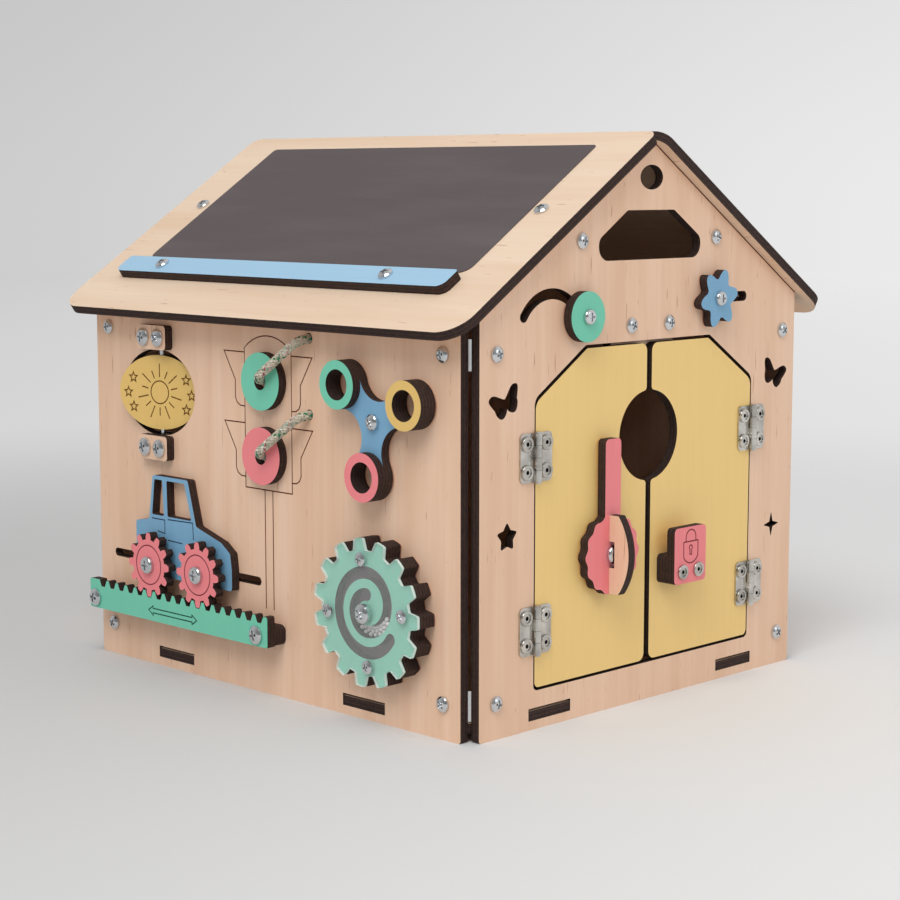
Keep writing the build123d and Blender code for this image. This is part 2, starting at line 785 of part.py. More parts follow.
slider_hole = Circle((slider_shank + run_play) / 2)
rest = math.radians(arc_rest)
disc_place = front * Pos(arc_x + arc_radius * math.cos(rest), arc_z + arc_radius * math.sin(rest))
save("disc_peg", *[disc_place * part for part in slider_peg()])
save("slider_disc", disc_place * plate(Circle(slider_disc_radius) - slider_hole, sheet, slider_lift))
star_place = front * Pos(star_x, star_high)
save("star_peg", *[star_place * part for part in slider_peg()])
star_middle = (star_outer + star_valley) / 2
star_face = wavy(star_middle, star_outer - star_middle, star_lobes, math.radians(star_turn))
save("slider_star", star_place * plate(star_face - slider_hole, sheet, slider_lift))

# Turning plate on its axle, held between outer and inner blocks
axle_x = -side_face + sheet / 2
flip_bore = Cylinder((axle_width + run_play) / 2, 2 * flip_high)
flip_face = Ellipse(flip_long / 2, flip_high / 2)
flip_plate = Plane.YZ * extrude(flip_face, amount=sheet / 2, both=True) - flip_bore
save("flip_plate", Pos(axle_x, flip_y, flip_z) * Rot(0, 0, flip_turn) * flip_plate)
axle_mid = (axle_low + axle_high) / 2
save("flip_axle", Pos(axle_x, flip_y, axle_mid) * Cylinder(axle_width / 2, axle_high - axle_low))
blocks = []
for z in block_z_places:
    block = RectangleRounded(block_long, block_high, block_corner)
    for sign in (-1, 1):
        block -= Pos(sign * block_screw_spacing / 2, 0) * Circle((large_shank + hole_play) / 2)
    for low_face in (0, -2 * sheet):
        blocks.append(side * plate(Pos(-flip_y, z) * block, sheet, low_face))
save("axle_blocks", *blocks)
large_screws = [side * Pos(u, v, sheet) * large_screw(block_screw_reach) for u, v in block_places]

# Lamp discs with the ropes that cross them
knots = []
for name, z in zip(("green", "pink"), lamp_z_places):
    lamp = Circle(lamp_radius) - Circle(lamp_hole)
    save("lamp_" + name, side * plate(Pos(-lamp_y, z) * lamp, sheet, lamp_lift))
    start = Vector(-rope_start_y, z + rope_start_rise, 0)
    end = Vector(-lamp_y, z, 0)
    route = [start + Vector(0, 0, -sheet), start + Vector(0, 0, rope_leave),
             end + Vector(0, 0, rope_over), end + Vector(0, 0, -sheet)]
    runs = [b - a for a, b in zip(route, route[1:])]
    radii = []
    for before, after in zip(runs, runs[1:]):
        half_turn = math.radians(before.get_angle(after)) / 2
        radii.append(rope_bend_share * min(before.length, after.length) / math.tan(half_turn))
    path = FilletPolyline(*route, radius=radii)
    profile = Plane(origin=path @ 0, z_dir=path % 0) * Circle(rope_width / 2)
    rope = sweep(profile, path=path)
    wanted = math.pi * (rope_width / 2) ** 2 * path.length
    print("rope", name, "radii", [round(r, 1) for r in radii], "length", round(path.length, 1))
    print("rope volume share", round(rope.volume / wanted, 4))
    save("rope_" + name, side * rope)
    for place in (start, end):
        knot = plate(Circle(knot_radius), knot_high, -sheet - knot_high)
        knots.append(side * Pos(place.X, place.Y, 0) * fillet(knot.edges(), knot_round))
save("rope_knots", *knots)

# Three-armed spinner with a ring on each arm
waist_away = math.sqrt((ring_radius + waist_radius) ** 2 - (spinner_arm * math.sin(math.pi / arm_count)) ** 2)
waist_away += spinner_arm * math.cos(math.pi / arm_count)
arms = [math.pi - math.radians(spinner_turn) + 2 * math.pi * k / arm_count for k in range(arm_count)]
touch = []
for a in arms:
    tip = Vector(*polar(spinner_arm, a))
    for sign in (-1, 1):
        waist = Vector(*polar(waist_away, a + sign * math.pi / arm_count))
        touch.append(tip + (waist - tip).normalized() * ring_radius)
spinner_face = Polygon(*[(p.X, p.Y) for p in touch], align=None)
for a in arms:
    spinner_face += Pos(*polar(spinner_arm, a)) * Circle(ring_radius)
for a in arms:
    spinner_face -= Pos(*polar(waist_away, a + math.pi / arm_count)) * Circle(waist_radius)
    spinner_face -= Pos(*polar(spinner_arm, a)) * Circle(ring_hole)
spinner_face -= Circle((medium_shank + run_play) / 2)
spinner_place = side * Pos(-spinner_y, spinner_z)
save("spinner_plate", spinner_place * plate(spinner_face, sheet, spinner_lift))
for name, a in zip(("green", "pink", "yellow"), arms):
    ring_part = ring(ring_radius, ring_hole, sheet, spinner_lift + sheet)
    save("spinner_ring_" + name, spinner_place * Pos(*polar(spinner_arm, a)) * ring_part)

# Toothed wheel: back plate, spiral plate and clear cover with loose beads between
gear_flank = [(gear_root, gear_base_wide / 2 / gear_root), (gear_outer, gear_tip_wide / 2 / gear_outer)]
gear_face = toothed(gear_teeth, gear_flank, math.radians(gear_turn))
gear_face = fillet(gear_face.vertices(), gear_round)
gear_face -= Circle((large_shank + run_play) / 2)
cover_step = 2 * math.pi / cover_screw_count
cover_turns = [math.radians(cover_screw_turn) + k * cover_step for k in range(cover_screw_count)]
cover_places = [Pos(*polar(cover_screw_radius, a)) for a in cover_turns]
for place in cover_places:
    gear_face -= place * Circle((small_shank + run_play) / 2)
gear_place = side * Pos(-gear_y, gear_z)
save("gear_back", gear_place * plate(gear_face, sheet, gear_lift))
spiral_low = gear_lift + sheet
cover_low = spiral_low + sheet
cover_top = cover_low + cover_thick
save("gear_cover", gear_place * plate(gear_face, cover_thick, cover_low))
middle_z = channel_outer - channel_middle
inner_z = middle_z - channel_middle + channel_inner
turns = (((0, 0), channel_outer, channel_start, channel_sweep),
         ((0, middle_z), channel_middle, 90, -180),
         ((0, inner_z), channel_inner, -90, -180))
for centre, radius, begin, size in turns:
    gear_face -= SlotArc(CenterArc(centre, radius, begin, size), channel_width)
save("gear_spiral_plate", gear_place * plate(gear_face, sheet, spiral_low))
beads = []
for centre, radius, count, sign in ((turns[2][0], channel_inner, beads_inner, -1),
                                    (turns[1][0], channel_middle, beads_outer, 1)):
    for k in range(count):
        for row in (-1, 0, 1):
            away = radius + row * bead_row
            phase = 1 / 4 if (row == 0) == (sign > 0) else 3 / 4
            angle = -math.pi / 2 + sign * (k + phase) * bead_step / radius
            x, y = polar(away, angle)
            place = Pos(centre[0] + x, centre[1] + y, spiral_low + bead_radius + bead_float)
            beads.append(gear_place * place * Sphere(bead_radius))
save("gear_beads", *beads)
cover_screw = Pos(0, 0, cover_top) * screw(small_head, small_head_high, small_shank, cover_screw_reach)
save("gear_screws", *[gear_place * place * cover_screw for place in cover_places])

# Bolts, washers and nuts of the spinner and the toothed wheel
pivot_bolts = []
pivot_washers = []
spinner_top = spinner_lift + sheet
spinner_pivot = (spinner_place, spinner_lift, spinner_top, medium_screw, medium_shank, medium_head)
gear_pivot = (gear_place, gear_lift, cover_top, large_screw, large_shank, large_head)
for place, lift, top, bolt, shank, head in (spinner_pivot, gear_pivot):
    head_at = top + washer_thick
    inside = -sheet - washer_thick
    pivot_bolts.append(place * Pos(0, 0, head_at) * bolt(head_at - inside + nut_high + shank_past_nut))
    pivot_washers.append(place * washer(shank, lift, 0))
    pivot_washers.append(place * washer(shank, washer_thick, top, head))
    pivot_washers.append(place * washer(shank, washer_thick, inside))
    nuts.append(place * nut(shank, inside))
save("pivot_bolts", *pivot_bolts)
save("pivot_washers", *pivot_washers)
save("inside_nuts", *nuts)


# Tractor body with windows, drawn from shares of its size
def share_points(shares):
    corner = Vector(-tractor_rear, tractor_low)
    return [(corner.X + a * tractor_long, corner.Y + b * tractor_high) for a, b in shares]


tractor = outline(share_points(body_shares), tractor_round)
tractor -= outline(share_points(rear_window_shares), tractor_window_round)
tractor -= outline(share_points(front_window_shares), tractor_window_round)
for y in (wheel_rear_y, wheel_front_y):
    tractor -= Pos(-y, wheel_z) * Circle((large_shank + run_play) / 2)
save("tractor_body", side * plate(tractor, sheet, tractor_lift))


# Half angle of an involute tooth at a radius
def tooth_half(radius):
    base = wheel_pitch_radius * math.cos(math.radians(pressure_angle))
    start = math.radians(pressure_angle)
    here = math.acos(min(1, base / radius))
    middle = wheel_tooth_share * tooth_pitch / 2 / wheel_pitch_radius
    return middle + math.tan(start) - start - math.tan(here) + here


wheel_outer = wheel_pitch_radius + wheel_addendum
wheel_root = wheel_pitch_radius - rack_addendum - tooth_clearance
flank_step = (wheel_outer - wheel_root) / flank_steps
flank_radii = [wheel_root + flank_step * k for k in range(flank_steps + 1)]
wheel_face = toothed(wheel_teeth, [(r, tooth_half(r)) for r in flank_radii], -math.pi / 2)
wheel_face -= Circle((large_shank + run_play) / 2)
tractor_bolts = []
tractor_washers = []
for name, y in (("rear", wheel_rear_y), ("front", wheel_front_y)):
    place = side * Pos(-y, wheel_z)
    save("wheel_" + name, place * plate(wheel_face, sheet, wheel_low))
    inside = -sheet - washer_thick
    top = wheel_low + sheet
    tractor_bolts.append(place * Pos(0, 0, top) * large_screw(top - inside + nut_high + shank_past_nut))
    tractor_bolts.append(place * nut(large_shank, inside))
    tractor_washers.append(place * washer(large_shank, tractor_lift, 0))
    tractor_washers.append(place * washer(large_shank, wheel_washer, tractor_lift + sheet))
    tractor_washers.append(place * washer(large_shank, washer_thick, inside))
save("tractor_bolts", *tractor_bolts)
save("tractor_washers", *tractor_washers)

# Rack whose gaps match the wheels, on two spacers
rack_top = rack_pitch_z + rack_addendum
rack_root = rack_pitch_z - wheel_addendum - tooth_clearance
slant = math.tan(math.radians(pressure_angle))
gap_pitch = (1 - rack_tooth_share) * tooth_pitch / 2
gap_top = gap_pitch + rack_addendum * slant
gap_root = gap_pitch - (wheel_addendum + tooth_clearance) * slant
rack_long = rack_high_y - rack_low_y
rack_mid = -(rack_high_y + rack_low_y) / 2
rack = RectangleRounded(rack_long, rack_top - rack_bottom, rack_corner)
rack = Pos(rack_mid, (rack_top + rack_bottom) / 2) * rack
for k in range(-rack_gaps_before, rack_gaps_after + 1):
    u = -(wheel_rear_y + k * tooth_pitch)
    rack -= Polygon((u - gap_top, rack_top), (u - gap_root, rack_root), (u + gap_root, rack_root),
                    (u + gap_top, rack_top), align=None)
bar_high = rack_spacer_top - rack_bottom
bar = Pos(rack_mid, rack_bottom + bar_high / 2) * RectangleRounded(rack_long, bar_high, rack_spacer_corner)
for y in rack_screw_places:
    rack -= Pos(-y, rack_screw_z) * Circle((large_shank + hole_play) / 2)
    bar -= Pos(-y, rack_screw_z) * Circle((large_shank + hole_play) / 2)
    large_screws.append(side * Pos(-y, rack_screw_z, wheel_low + sheet) * large_screw(rack_screw_reach))
save("rack", side * plate(rack, sheet, wheel_low))
save("rack_spacers", side * plate(bar, sheet), side * plate(bar, wheel_low - sheet, sheet))
save("large_screws", *large_screws)
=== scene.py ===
import bpy
import bmesh
import math
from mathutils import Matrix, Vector


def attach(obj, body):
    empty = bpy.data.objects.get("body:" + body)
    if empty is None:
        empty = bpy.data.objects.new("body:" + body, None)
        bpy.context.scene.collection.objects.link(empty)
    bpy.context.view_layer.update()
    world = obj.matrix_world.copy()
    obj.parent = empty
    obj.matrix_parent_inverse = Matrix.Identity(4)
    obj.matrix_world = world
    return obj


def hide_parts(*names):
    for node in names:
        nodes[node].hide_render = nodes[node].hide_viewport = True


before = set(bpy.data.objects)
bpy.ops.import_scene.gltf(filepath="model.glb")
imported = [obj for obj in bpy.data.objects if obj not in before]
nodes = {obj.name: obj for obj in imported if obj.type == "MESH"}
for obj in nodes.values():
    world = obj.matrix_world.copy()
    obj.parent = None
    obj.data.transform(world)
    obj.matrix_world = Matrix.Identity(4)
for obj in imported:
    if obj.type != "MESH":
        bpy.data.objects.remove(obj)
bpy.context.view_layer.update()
scene = bpy.context.scene
mm = 0.001
creaseAngle = 0.6  # edges that turn more than this, in radians, stay sharp
print("frame loaded:", len(nodes), "nodes")


def linear(hexText):
    parts = [int(hexText[i:i + 2], 16) / 255 for i in (1, 3, 5)]
    return [c / 12.92 if c <= 0.04045 else ((c + 0.055) / 1.055) ** 2.4 for c in parts] + [1.0]


# gives a node's inputs their values; an input takes a value, a socket or a list of sockets
def feed(tree, node, inputs):
    for key, value in inputs.items():
        several = isinstance(value, list) and not isinstance(value[0], float)
        for item in value if several else [value]:
            if isinstance(item, bpy.types.NodeSocket):
                tree.links.new(item, node.inputs[key])
            else:
                node.inputs[key].default_value = item


# adds one node with its properties and inputs
def addNode(tree, kind, settings=None, inputs=None):
    node = tree.nodes.new(kind)
    for key, value in (settings or {}).items():
        setattr(node, key, value)
    feed(tree, node, inputs or {})
    return node


# the result of a sum on values or sockets
def reckon(tree, operation, *values):
    return addNode(tree, "ShaderNodeMath", {"operation": operation}, dict(enumerate(values))).outputs[0]


# the same on vectors, whose result is a number for a length or a dot product
def reckonVector(tree, operation, *values):
    node = addNode(tree, "ShaderNodeVectorMath", {"operation": operation}, dict(enumerate(values)))
    return node.outputs["Value" if operation in ("DOT_PRODUCT", "LENGTH") else "Vector"]


# one colour or the other, by a share from 0 to 1
def mixColours(tree, share, first, second, blend="MIX"):
    return addNode(tree, "ShaderNodeMix", {"data_type": "RGBA", "blend_type": blend},
                   {0: share, 6: first, 7: second}).outputs[2]


# a value moved from one span to another and kept inside it
def spread(tree, value, span=(0.0, 1.0), target=(0.0, 1.0), bend="LINEAR"):
    return addNode(tree, "ShaderNodeMapRange", {"interpolation_type": bend},
                   {"Value": value, 1: span[0], 2: span[1], 3: target[0], 4: target[1]}).outputs[0]


# soft noise whose patches are about as wide as given, in metres
def noise(tree, coords, width, detail):
    return addNode(tree, "ShaderNodeTexNoise", None,
                   {"Vector": coords, "Scale": 1 / width, "Detail": detail}).outputs[0]


# one number or the other, by a share from 0 to 1
def mixNumbers(tree, share, first, second):
    return addNode(tree, "ShaderNodeMix", {"data_type": "FLOAT"}, {0: share, 2: first, 3: second}).outputs[0]


# a shader's normal roughened by a height
def bumpFrom(tree, height, strength, depth):
    return addNode(tree, "ShaderNodeBump", None,
                   {"Strength": strength, "Distance": depth, "Height": height}).outputs[0]


# a vector put together from its parts
def vectorOf(tree, *parts):
    return addNode(tree, "ShaderNodeCombineXYZ", None, dict(enumerate(parts))).outputs[0]


# camera where the photograph was taken from
cameraSet = {"place": (-0.9830, -0.9755, 0.3223), "yaw": -45.23, "pitch": -7.46,
             "lens": 82.75, "sensor": 36.0}

cameraData = bpy.data.cameras.new("camera")
cameraData.sensor_width = cameraSet["sensor"]
cameraData.lens = cameraSet["lens"]
camera = bpy.data.objects.new("camera", cameraData)
camera.location = cameraSet["place"]
camera.rotation_euler = (math.radians(90 + cameraSet["pitch"]), 0, math.radians(cameraSet["yaw"]))
scene.collection.objects.link(camera)
scene.camera = camera
print("camera set")


def startMaterial(name):
    material = bpy.data.materials.new(name)
    material.use_nodes = True
    return material, material.node_tree, material.node_tree.nodes["Principled BSDF"]


def startTree(name, sizes):
    tree = bpy.data.node_groups.new(name, "GeometryNodeTree")
    tree.interface.new_socket(name="Geometry", in_out="INPUT", socket_type="NodeSocketGeometry")
    for label, kind in sizes.items():
        tree.interface.new_socket(name=label, in_out="INPUT", socket_type="NodeSocket" + kind)
    tree.interface.new_socket(name="Geometry", in_out="OUTPUT", socket_type="NodeSocketGeometry")
    start = addNode(tree, "NodeGroupInput").outputs
    return tree, start


def endTree(tree, shape, material):
    smooth = addNode(tree, "GeometryNodeSetShadeSmooth", {"domain": "FACE"}, {0: shape})
    angle = addNode(tree, "GeometryNodeInputMeshEdgeAngle").outputs[0]
    sharp = addNode(tree, "FunctionNodeCompare", {"operation": "GREATER_THAN"}, {0: angle, 1: creaseAngle})
    edged = addNode(tree, "GeometryNodeSetShadeSmooth", {"domain": "EDGE"},
                    {0: smooth.outputs[0], 1: sharp.outputs[0], 2: False})
    real = addNode(tree, "GeometryNodeRealizeInstances", None, {0: edged.outputs[0]})
    done = addNode(tree, "GeometryNodeSetMaterial", None, {0: real.outputs[0], "Material": material})
    addNode(tree, "NodeGroupOutput", None, {0: done.outputs[0]})


# runs a tree on points and keeps the result as a plain mesh
def shapeFromTree(name, tree, values, points, edges=(), facing=None):
    mesh = bpy.data.meshes.new(name)
    mesh.from_pydata([tuple(p) for p in points], list(edges), [])
    if facing:
        mesh.attributes.new("facing", "FLOAT_VECTOR", "POINT")
        mesh.attributes["facing"].data.foreach_set("vector", [c for f in facing for c in f])
    piece = bpy.data.objects.new(name, mesh)
    scene.collection.objects.link(piece)
    modifier = piece.modifiers.new("shape", "NODES")
    modifier.node_group = tree
    for item in tree.interface.items_tree:
        if item.in_out == "INPUT" and item.name in values:
            modifier[item.identifier] = values[item.name]
    graph = bpy.context.evaluated_depsgraph_get()
    graph.update()
    plain = bpy.data.meshes.new_from_object(piece.evaluated_get(graph))
    piece.modifiers.clear()
    piece.data = plain
    return piece


# braided cotton cord: soft, fibrous yarns in cream and beige with a few coloured tracer yarns
cottonSet = {"cream": "#EBE3D2", "beige": "#C3B79E",
             "dyedLength": 7 * mm, "fibre": 0.9 * mm, "fuzz": 0.15 * mm,
             "tracers": {2: "#1F8A55", 6: "#7FB595", 11: "#BE4256", 14: "#5F8A70"}}


def cottonRope():
    material, tree, shader = startMaterial("braided cotton rope")
    coords = addNode(tree, "ShaderNodeTexCoord").outputs["Object"]
    yarn = addNode(tree, "ShaderNodeAttribute", {"attribute_name": "yarn"}).outputs["Fac"]
    along = addNode(tree, "ShaderNodeAttribute", {"attribute_name": "along"}).outputs["Fac"]
    tone = addNode(tree, "ShaderNodeTexWhiteNoise", {"noise_dimensions": "1D"}, {"W": yarn}).outputs["Value"]
    colour = mixColours(tree, tone, linear(cottonSet["cream"]), linear(cottonSet["beige"]))
    patch = addNode(tree, "ShaderNodeTexNoise", {"noise_dimensions": "1D"},
                    {"W": along, "Scale": 1 / cottonSet["dyedLength"]}).outputs[0]
    strong = spread(tree, patch, span=(0.40, 0.52), target=(0.25, 1.0))
    for number, hexText in cottonSet["tracers"].items():
        hit = reckon(tree, "COMPARE", yarn, float(number), 0.4)
        share = reckon(tree, "MULTIPLY", hit, strong)
        colour = mixColours(tree, share, colour, linear(hexText))
    # fibre noise darkens the colour to about half in specks: partly the yarns' own fibre tone, partly painted
    # shade between the yarns
    fibre = noise(tree, coords, width=cottonSet["fibre"], detail=3.0)
    fibreToneAndPaintedShade = spread(tree, fibre, span=(0.34, 0.66), target=(0.48, 1.1))
    tinted = mixColours(tree, 1.0, colour, fibreToneAndPaintedShade, "MULTIPLY")
    bump = bumpFrom(tree, fibre, strength=0.5, depth=cottonSet["fuzz"])
    feed(tree, shader, {"Base Color": tinted, "Normal": bump, "Roughness": 0.9, "Sheen Weight": 0.3})
    return material


# tree: yarns that run round a path both ways, over and under each other
def braidTree():
    tree, start = startTree("braid", {"Yarns Each Way": "Int", "Lay Length": "Float",
                                      "Middle Radius": "Float", "Weave Depth": "Float",
                                      "Yarn Radius": "Float", "Step": "Float", "Material": "Material"})
    path = addNode(tree, "GeometryNodeMeshToCurve", None, {0: start["Geometry"]}).outputs[0]
    even = addNode(tree, "GeometryNodeResampleCurve", {"mode": "LENGTH"},
                   {0: path, "Length": start["Step"]}).outputs[0]
    count = reckon(tree, "MULTIPLY", start["Yarns Each Way"], 2.0)
    copies = addNode(tree, "GeometryNodeDuplicateElements", {"domain": "SPLINE"}, {0: even, "Amount": count})
    yarn = copies.outputs["Duplicate Index"]
    length = addNode(tree, "GeometryNodeSplineParameter").outputs["Length"]
    kept = addNode(tree, "GeometryNodeStoreNamedAttribute", {"data_type": "FLOAT", "domain": "POINT"},
                   {0: copies.outputs[0], "Name": "yarn", "Value": yarn}).outputs[0]
    kept = addNode(tree, "GeometryNodeStoreNamedAttribute", {"data_type": "FLOAT", "domain": "POINT"},
                   {0: kept, "Name": "along", "Value": length}).outputs[0]
    second = reckon(tree, "GREATER_THAN", yarn, reckon(tree, "SUBTRACT", start["Yarns Each Way"], 0.5))
    way = reckon(tree, "MULTIPLY_ADD", second, -2.0, 1.0)
    turns = reckon(tree, "DIVIDE", length, start["Lay Length"])
    signed = reckon(tree, "MULTIPLY", turns, way)
    place = reckon(tree, "DIVIDE", yarn, start["Yarns Each Way"])
    whole = reckon(tree, "ADD", signed, place)
    angle = reckon(tree, "MULTIPLY", whole, 2 * math.pi)
    beat = reckon(tree, "MULTIPLY", turns, start["Yarns Each Way"])
    beat = reckon(tree, "MULTIPLY", beat, 2 * math.pi)
    wave = reckon(tree, "COSINE", beat)
    wave = reckon(tree, "MULTIPLY", wave, way)
    radius = reckon(tree, "MULTIPLY_ADD", wave, start["Weave Depth"], start["Middle Radius"])
    sideways = addNode(tree, "GeometryNodeInputNormal").outputs[0]
    onward = addNode(tree, "GeometryNodeInputTangent").outputs[0]
    outward = addNode(tree, "ShaderNodeVectorRotate", {"rotation_type": "AXIS_ANGLE"},
                      {"Vector": sideways, "Axis": onward, "Angle": angle}).outputs[0]
    offset = addNode(tree, "ShaderNodeVectorMath", {"operation": "SCALE"},
                     {0: outward, "Scale": radius}).outputs[0]
    wound = addNode(tree, "GeometryNodeSetPosition", None, {0: kept, "Offset": offset}).outputs[0]
    section = addNode(tree, "GeometryNodeCurvePrimitiveCircle", None,
                      {"Resolution": 6, "Radius": start["Yarn Radius"]}).outputs[0]
    tubes = addNode(tree, "GeometryNodeCurveToMesh", None,
                    {0: wound, 1: section, "Fill Caps": True}).outputs[0]
    endTree(tree, tubes, start["Material"])
    return tree


# the route's turns outside the wall are x, y and the height over the disc's middle
ropeSet = {"diameter": 6 * mm, "length": 74.2 * mm, "yarns": 8, "lay": 24 * mm, "middle": 2.02 * mm,
           "weave": 0.25 * mm, "yarn": 0.73 * mm, "step": 0.6 * mm, "curveSteps": 24, "curveOrder": 3,
           "inside": -0.1515, "holeY": -0.0365, "discY": 0.0025, "rise": 28.5 * mm,
           "turns": ((-0.1650, -0.0365, 28.5 * mm), (-0.1664, -0.02565, 20.6 * mm),
                     (-0.1681, -0.01235, 10.9 * mm), (-0.1700, 0.0025, 0.0)),
           "discs": {"green": 198.5 * mm, "pink": 152.0 * mm}}
knotSet = {"lobe": 1.5 * mm, "depth": 2.4 * mm, "points": 24, "middle": 5.5 * mm, "step": 0.8 * mm}
rope = cottonRope()
braid = braidTree()
braidSizes = {"Yarns Each Way": ropeSet["yarns"], "Lay Length": ropeSet["lay"],
              "Middle Radius": ropeSet["middle"], "Weave Depth": ropeSet["weave"],
              "Yarn Radius": ropeSet["yarn"], "Step": ropeSet["step"], "Material": rope}


# points of a smooth NURBS line through the given control points
def smoothLine(controls, closed=False):
    curve = bpy.data.curves.new("line", "CURVE")
    curve.dimensions = "3D"
    curve.resolution_u = ropeSet["curveSteps"]
    spline = curve.splines.new("NURBS")
    spline.points.add(len(controls) - 1)
    for point, place in zip(spline.points, controls):
        point.co = (*place, 1.0)
    spline.order_u = ropeSet["curveOrder"]
    spline.use_cyclic_u = closed
    spline.use_endpoint_u = not closed
    holder = bpy.data.objects.new("line", curve)
    scene.collection.objects.link(holder)
    graph = bpy.context.evaluated_depsgraph_get()
    mesh = bpy.data.meshes.new_from_object(holder.evaluated_get(graph))
    points = [v.co.copy() for v in mesh.vertices]
    bpy.data.objects.remove(holder)
    bpy.data.meshes.remove(mesh)
    return points


# an overhand knot pulled tight behind the wall, its middle at the given place
def knotPoints(y, z):
    controls = []
    for k in range(knotSet["points"]):
        t = 2 * math.pi * k / knotSet["points"]
        across = knotSet["lobe"] * (math.sin(t) + 2 * math.sin(2 * t))
        up = knotSet["lobe"] * (math.cos(t) - 2 * math.cos(2 * t))
        deep = knotSet["depth"] * math.sin(3 * t)
        controls.append((ropeSet["inside"] + knotSet["middle"] + deep, y + across, z + up))
    return smoothLine(controls, closed=True)


for name, z in ropeSet["discs"].items():
    route = [(ropeSet["inside"], ropeSet["holeY"], z + ropeSet["rise"])]
    route += [(x, y, z + height) for x, y, height in ropeSet["turns"]]
    route.append((ropeSet["inside"], ropeSet["discY"], z))
    line = smoothLine(route)
    steps = [(i, i + 1) for i in range(len(line) - 1)]
    cordPiece = shapeFromTree("rope_" + name + "_braid", braid, braidSizes, line, steps)
    places = []
    links = []
    for y, height in ((ropeSet["holeY"], z + ropeSet["rise"]), (ropeSet["discY"], z)):
        loop = knotPoints(y, height)
        first = len(places)
        places += loop
        links += [(first + i, first + (i + 1) % len(loop)) for i in range(len(loop))]
    knots = shapeFromTree("knots_" + name, braid, {**braidSizes, "Step": knotSet["step"]}, places, links)
    for piece in (cordPiece, knots):
        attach(piece, "house")
    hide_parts("rope_" + name)
    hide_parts("rope_knots")
print("ropes braided")


# birch plywood cut by laser: smooth pale veneer with soft wide grain and a few short brown flecks,
# scorched brown edges that show the plies; a painted sheet has its colour on the front face only
# each grain is its length and width in millimetres and its detail
plySet = {"grains": {"streak": (120.0, 3.0, 4.0), "band": (240.0, 22.0, 2.0), "fleck": (14.0, 1.3, 0.0)},
          "wavy": 0.6, "squareOn": 0.7, "bandShare": 0.6, "plyShare": 0.18, "rollerShare": 0.5,
          "ply": 1.2 * mm, "burn": 2.0 * mm, "roller": 1.2 * mm, "relief": 0.1 * mm,
          "bareRough": (0.5, 0.62), "paintRough": (0.44, 0.54), "edgeRough": 0.85,
          "pale": "#EFCCB1", "tan": "#E9C3A6", "band": "#DEB392", "fleck": "#AE7853",
          "char": "#21130F", "scorch": "#40281F", "underPaint": "#8A7060"}


def plywood(name, facing, grain, paint=None, bothSides=False, tones=plySet, show=0.04):
    material, tree, shader = startMaterial(name)
    facing = Vector(facing).normalized()
    grain = Vector(grain).normalized()
    coords = addNode(tree, "ShaderNodeTexCoord").outputs
    axes = [reckonVector(tree, "DOT_PRODUCT", coords["Object"], tuple(axis))
            for axis in (grain, facing.cross(grain), facing)]
    sheetSpace = vectorOf(tree, *axes)
    toward = reckonVector(tree, "DOT_PRODUCT", coords["Normal"], tuple(facing))
    flat = reckon(tree, "ABSOLUTE", toward)
    onFace = reckon(tree, "GREATER_THAN", flat, plySet["squareOn"])
    onFront = reckon(tree, "GREATER_THAN", flat if bothSides else toward, plySet["squareOn"])

    patterns = {}
    for key, (long, wide, detail) in plySet["grains"].items():
        squeeze = (1 / (long * mm), 1 / (wide * mm), 1 / (wide * mm))
        stretched = reckonVector(tree, "MULTIPLY", sheetSpace, squeeze)
        patterns[key] = addNode(tree, "ShaderNodeTexNoise", None,
                                {"Vector": stretched, "Scale": 1.0, "Detail": detail,
                                 "Distortion": plySet["wavy"]}).outputs[0]
    streak = spread(tree, patterns["streak"], span=(0.25, 0.75))
    broad = spread(tree, patterns["band"], span=(0.38, 0.72))
    fleck = spread(tree, patterns["fleck"], span=(0.79, 0.85), target=(0.0, 0.65))
    veneer = mixColours(tree, streak, linear(tones["pale"]), linear(tones["tan"]))
    part = reckon(tree, "MULTIPLY", broad, plySet["bandShare"])
    veneer = mixColours(tree, part, veneer, linear(tones["band"]))
    veneer = mixColours(tree, fleck, veneer, linear(plySet["fleck"]))

    # scorched edge: plies across the thickness, streaks where the beam ran
    plies = reckon(tree, "MULTIPLY", axes[2], math.pi / plySet["ply"])
    plies = reckon(tree, "SINE", plies)
    burn = noise(tree, coords["Object"], width=plySet["burn"], detail=3.0)
    depth = reckon(tree, "MULTIPLY_ADD", plies, plySet["plyShare"], burn)
    depth = spread(tree, depth, span=(0.3, 0.75))
    edge = mixColours(tree, depth, linear(plySet["char"]), linear(plySet["scorch"]))

    face = veneer
    height = patterns["streak"]
    if paint:
        thin = reckon(tree, "MULTIPLY", streak, show)
        coat = mixColours(tree, thin, linear(paint), linear(plySet["underPaint"]), "MULTIPLY")
        face = mixColours(tree, onFront, veneer, coat)
        roller = noise(tree, coords["Object"], width=plySet["roller"], detail=2.0)
        height = reckon(tree, "MULTIPLY_ADD", roller, plySet["rollerShare"], patterns["streak"])
    colour = mixColours(tree, onFace, edge, face)
    soft = spread(tree, streak, target=plySet["paintRough"] if paint else plySet["bareRough"])
    rough = mixNumbers(tree, onFace, plySet["edgeRough"], soft)
    relief = mixNumbers(tree, onFace, burn, height)
    bump = bumpFrom(tree, relief, strength=0.12, depth=plySet["relief"])
    feed(tree, shader, {"Base Color": colour, "Roughness": rough, "Normal": bump})
    return material


# zinc-plated screws and brackets: bright silver-white, slightly cloudy from the bath
# nickel-plated hinges and rivets: a little warmer and smoother, with fine rubbing marks; their cloud turns a
# much darker grey in patches, painted dark reflections
platedSet = {"cloud": 9 * mm, "scratchLong": 6 * mm, "scratchWide": 0.8 * mm, "scratchDeep": 0.05 * mm}


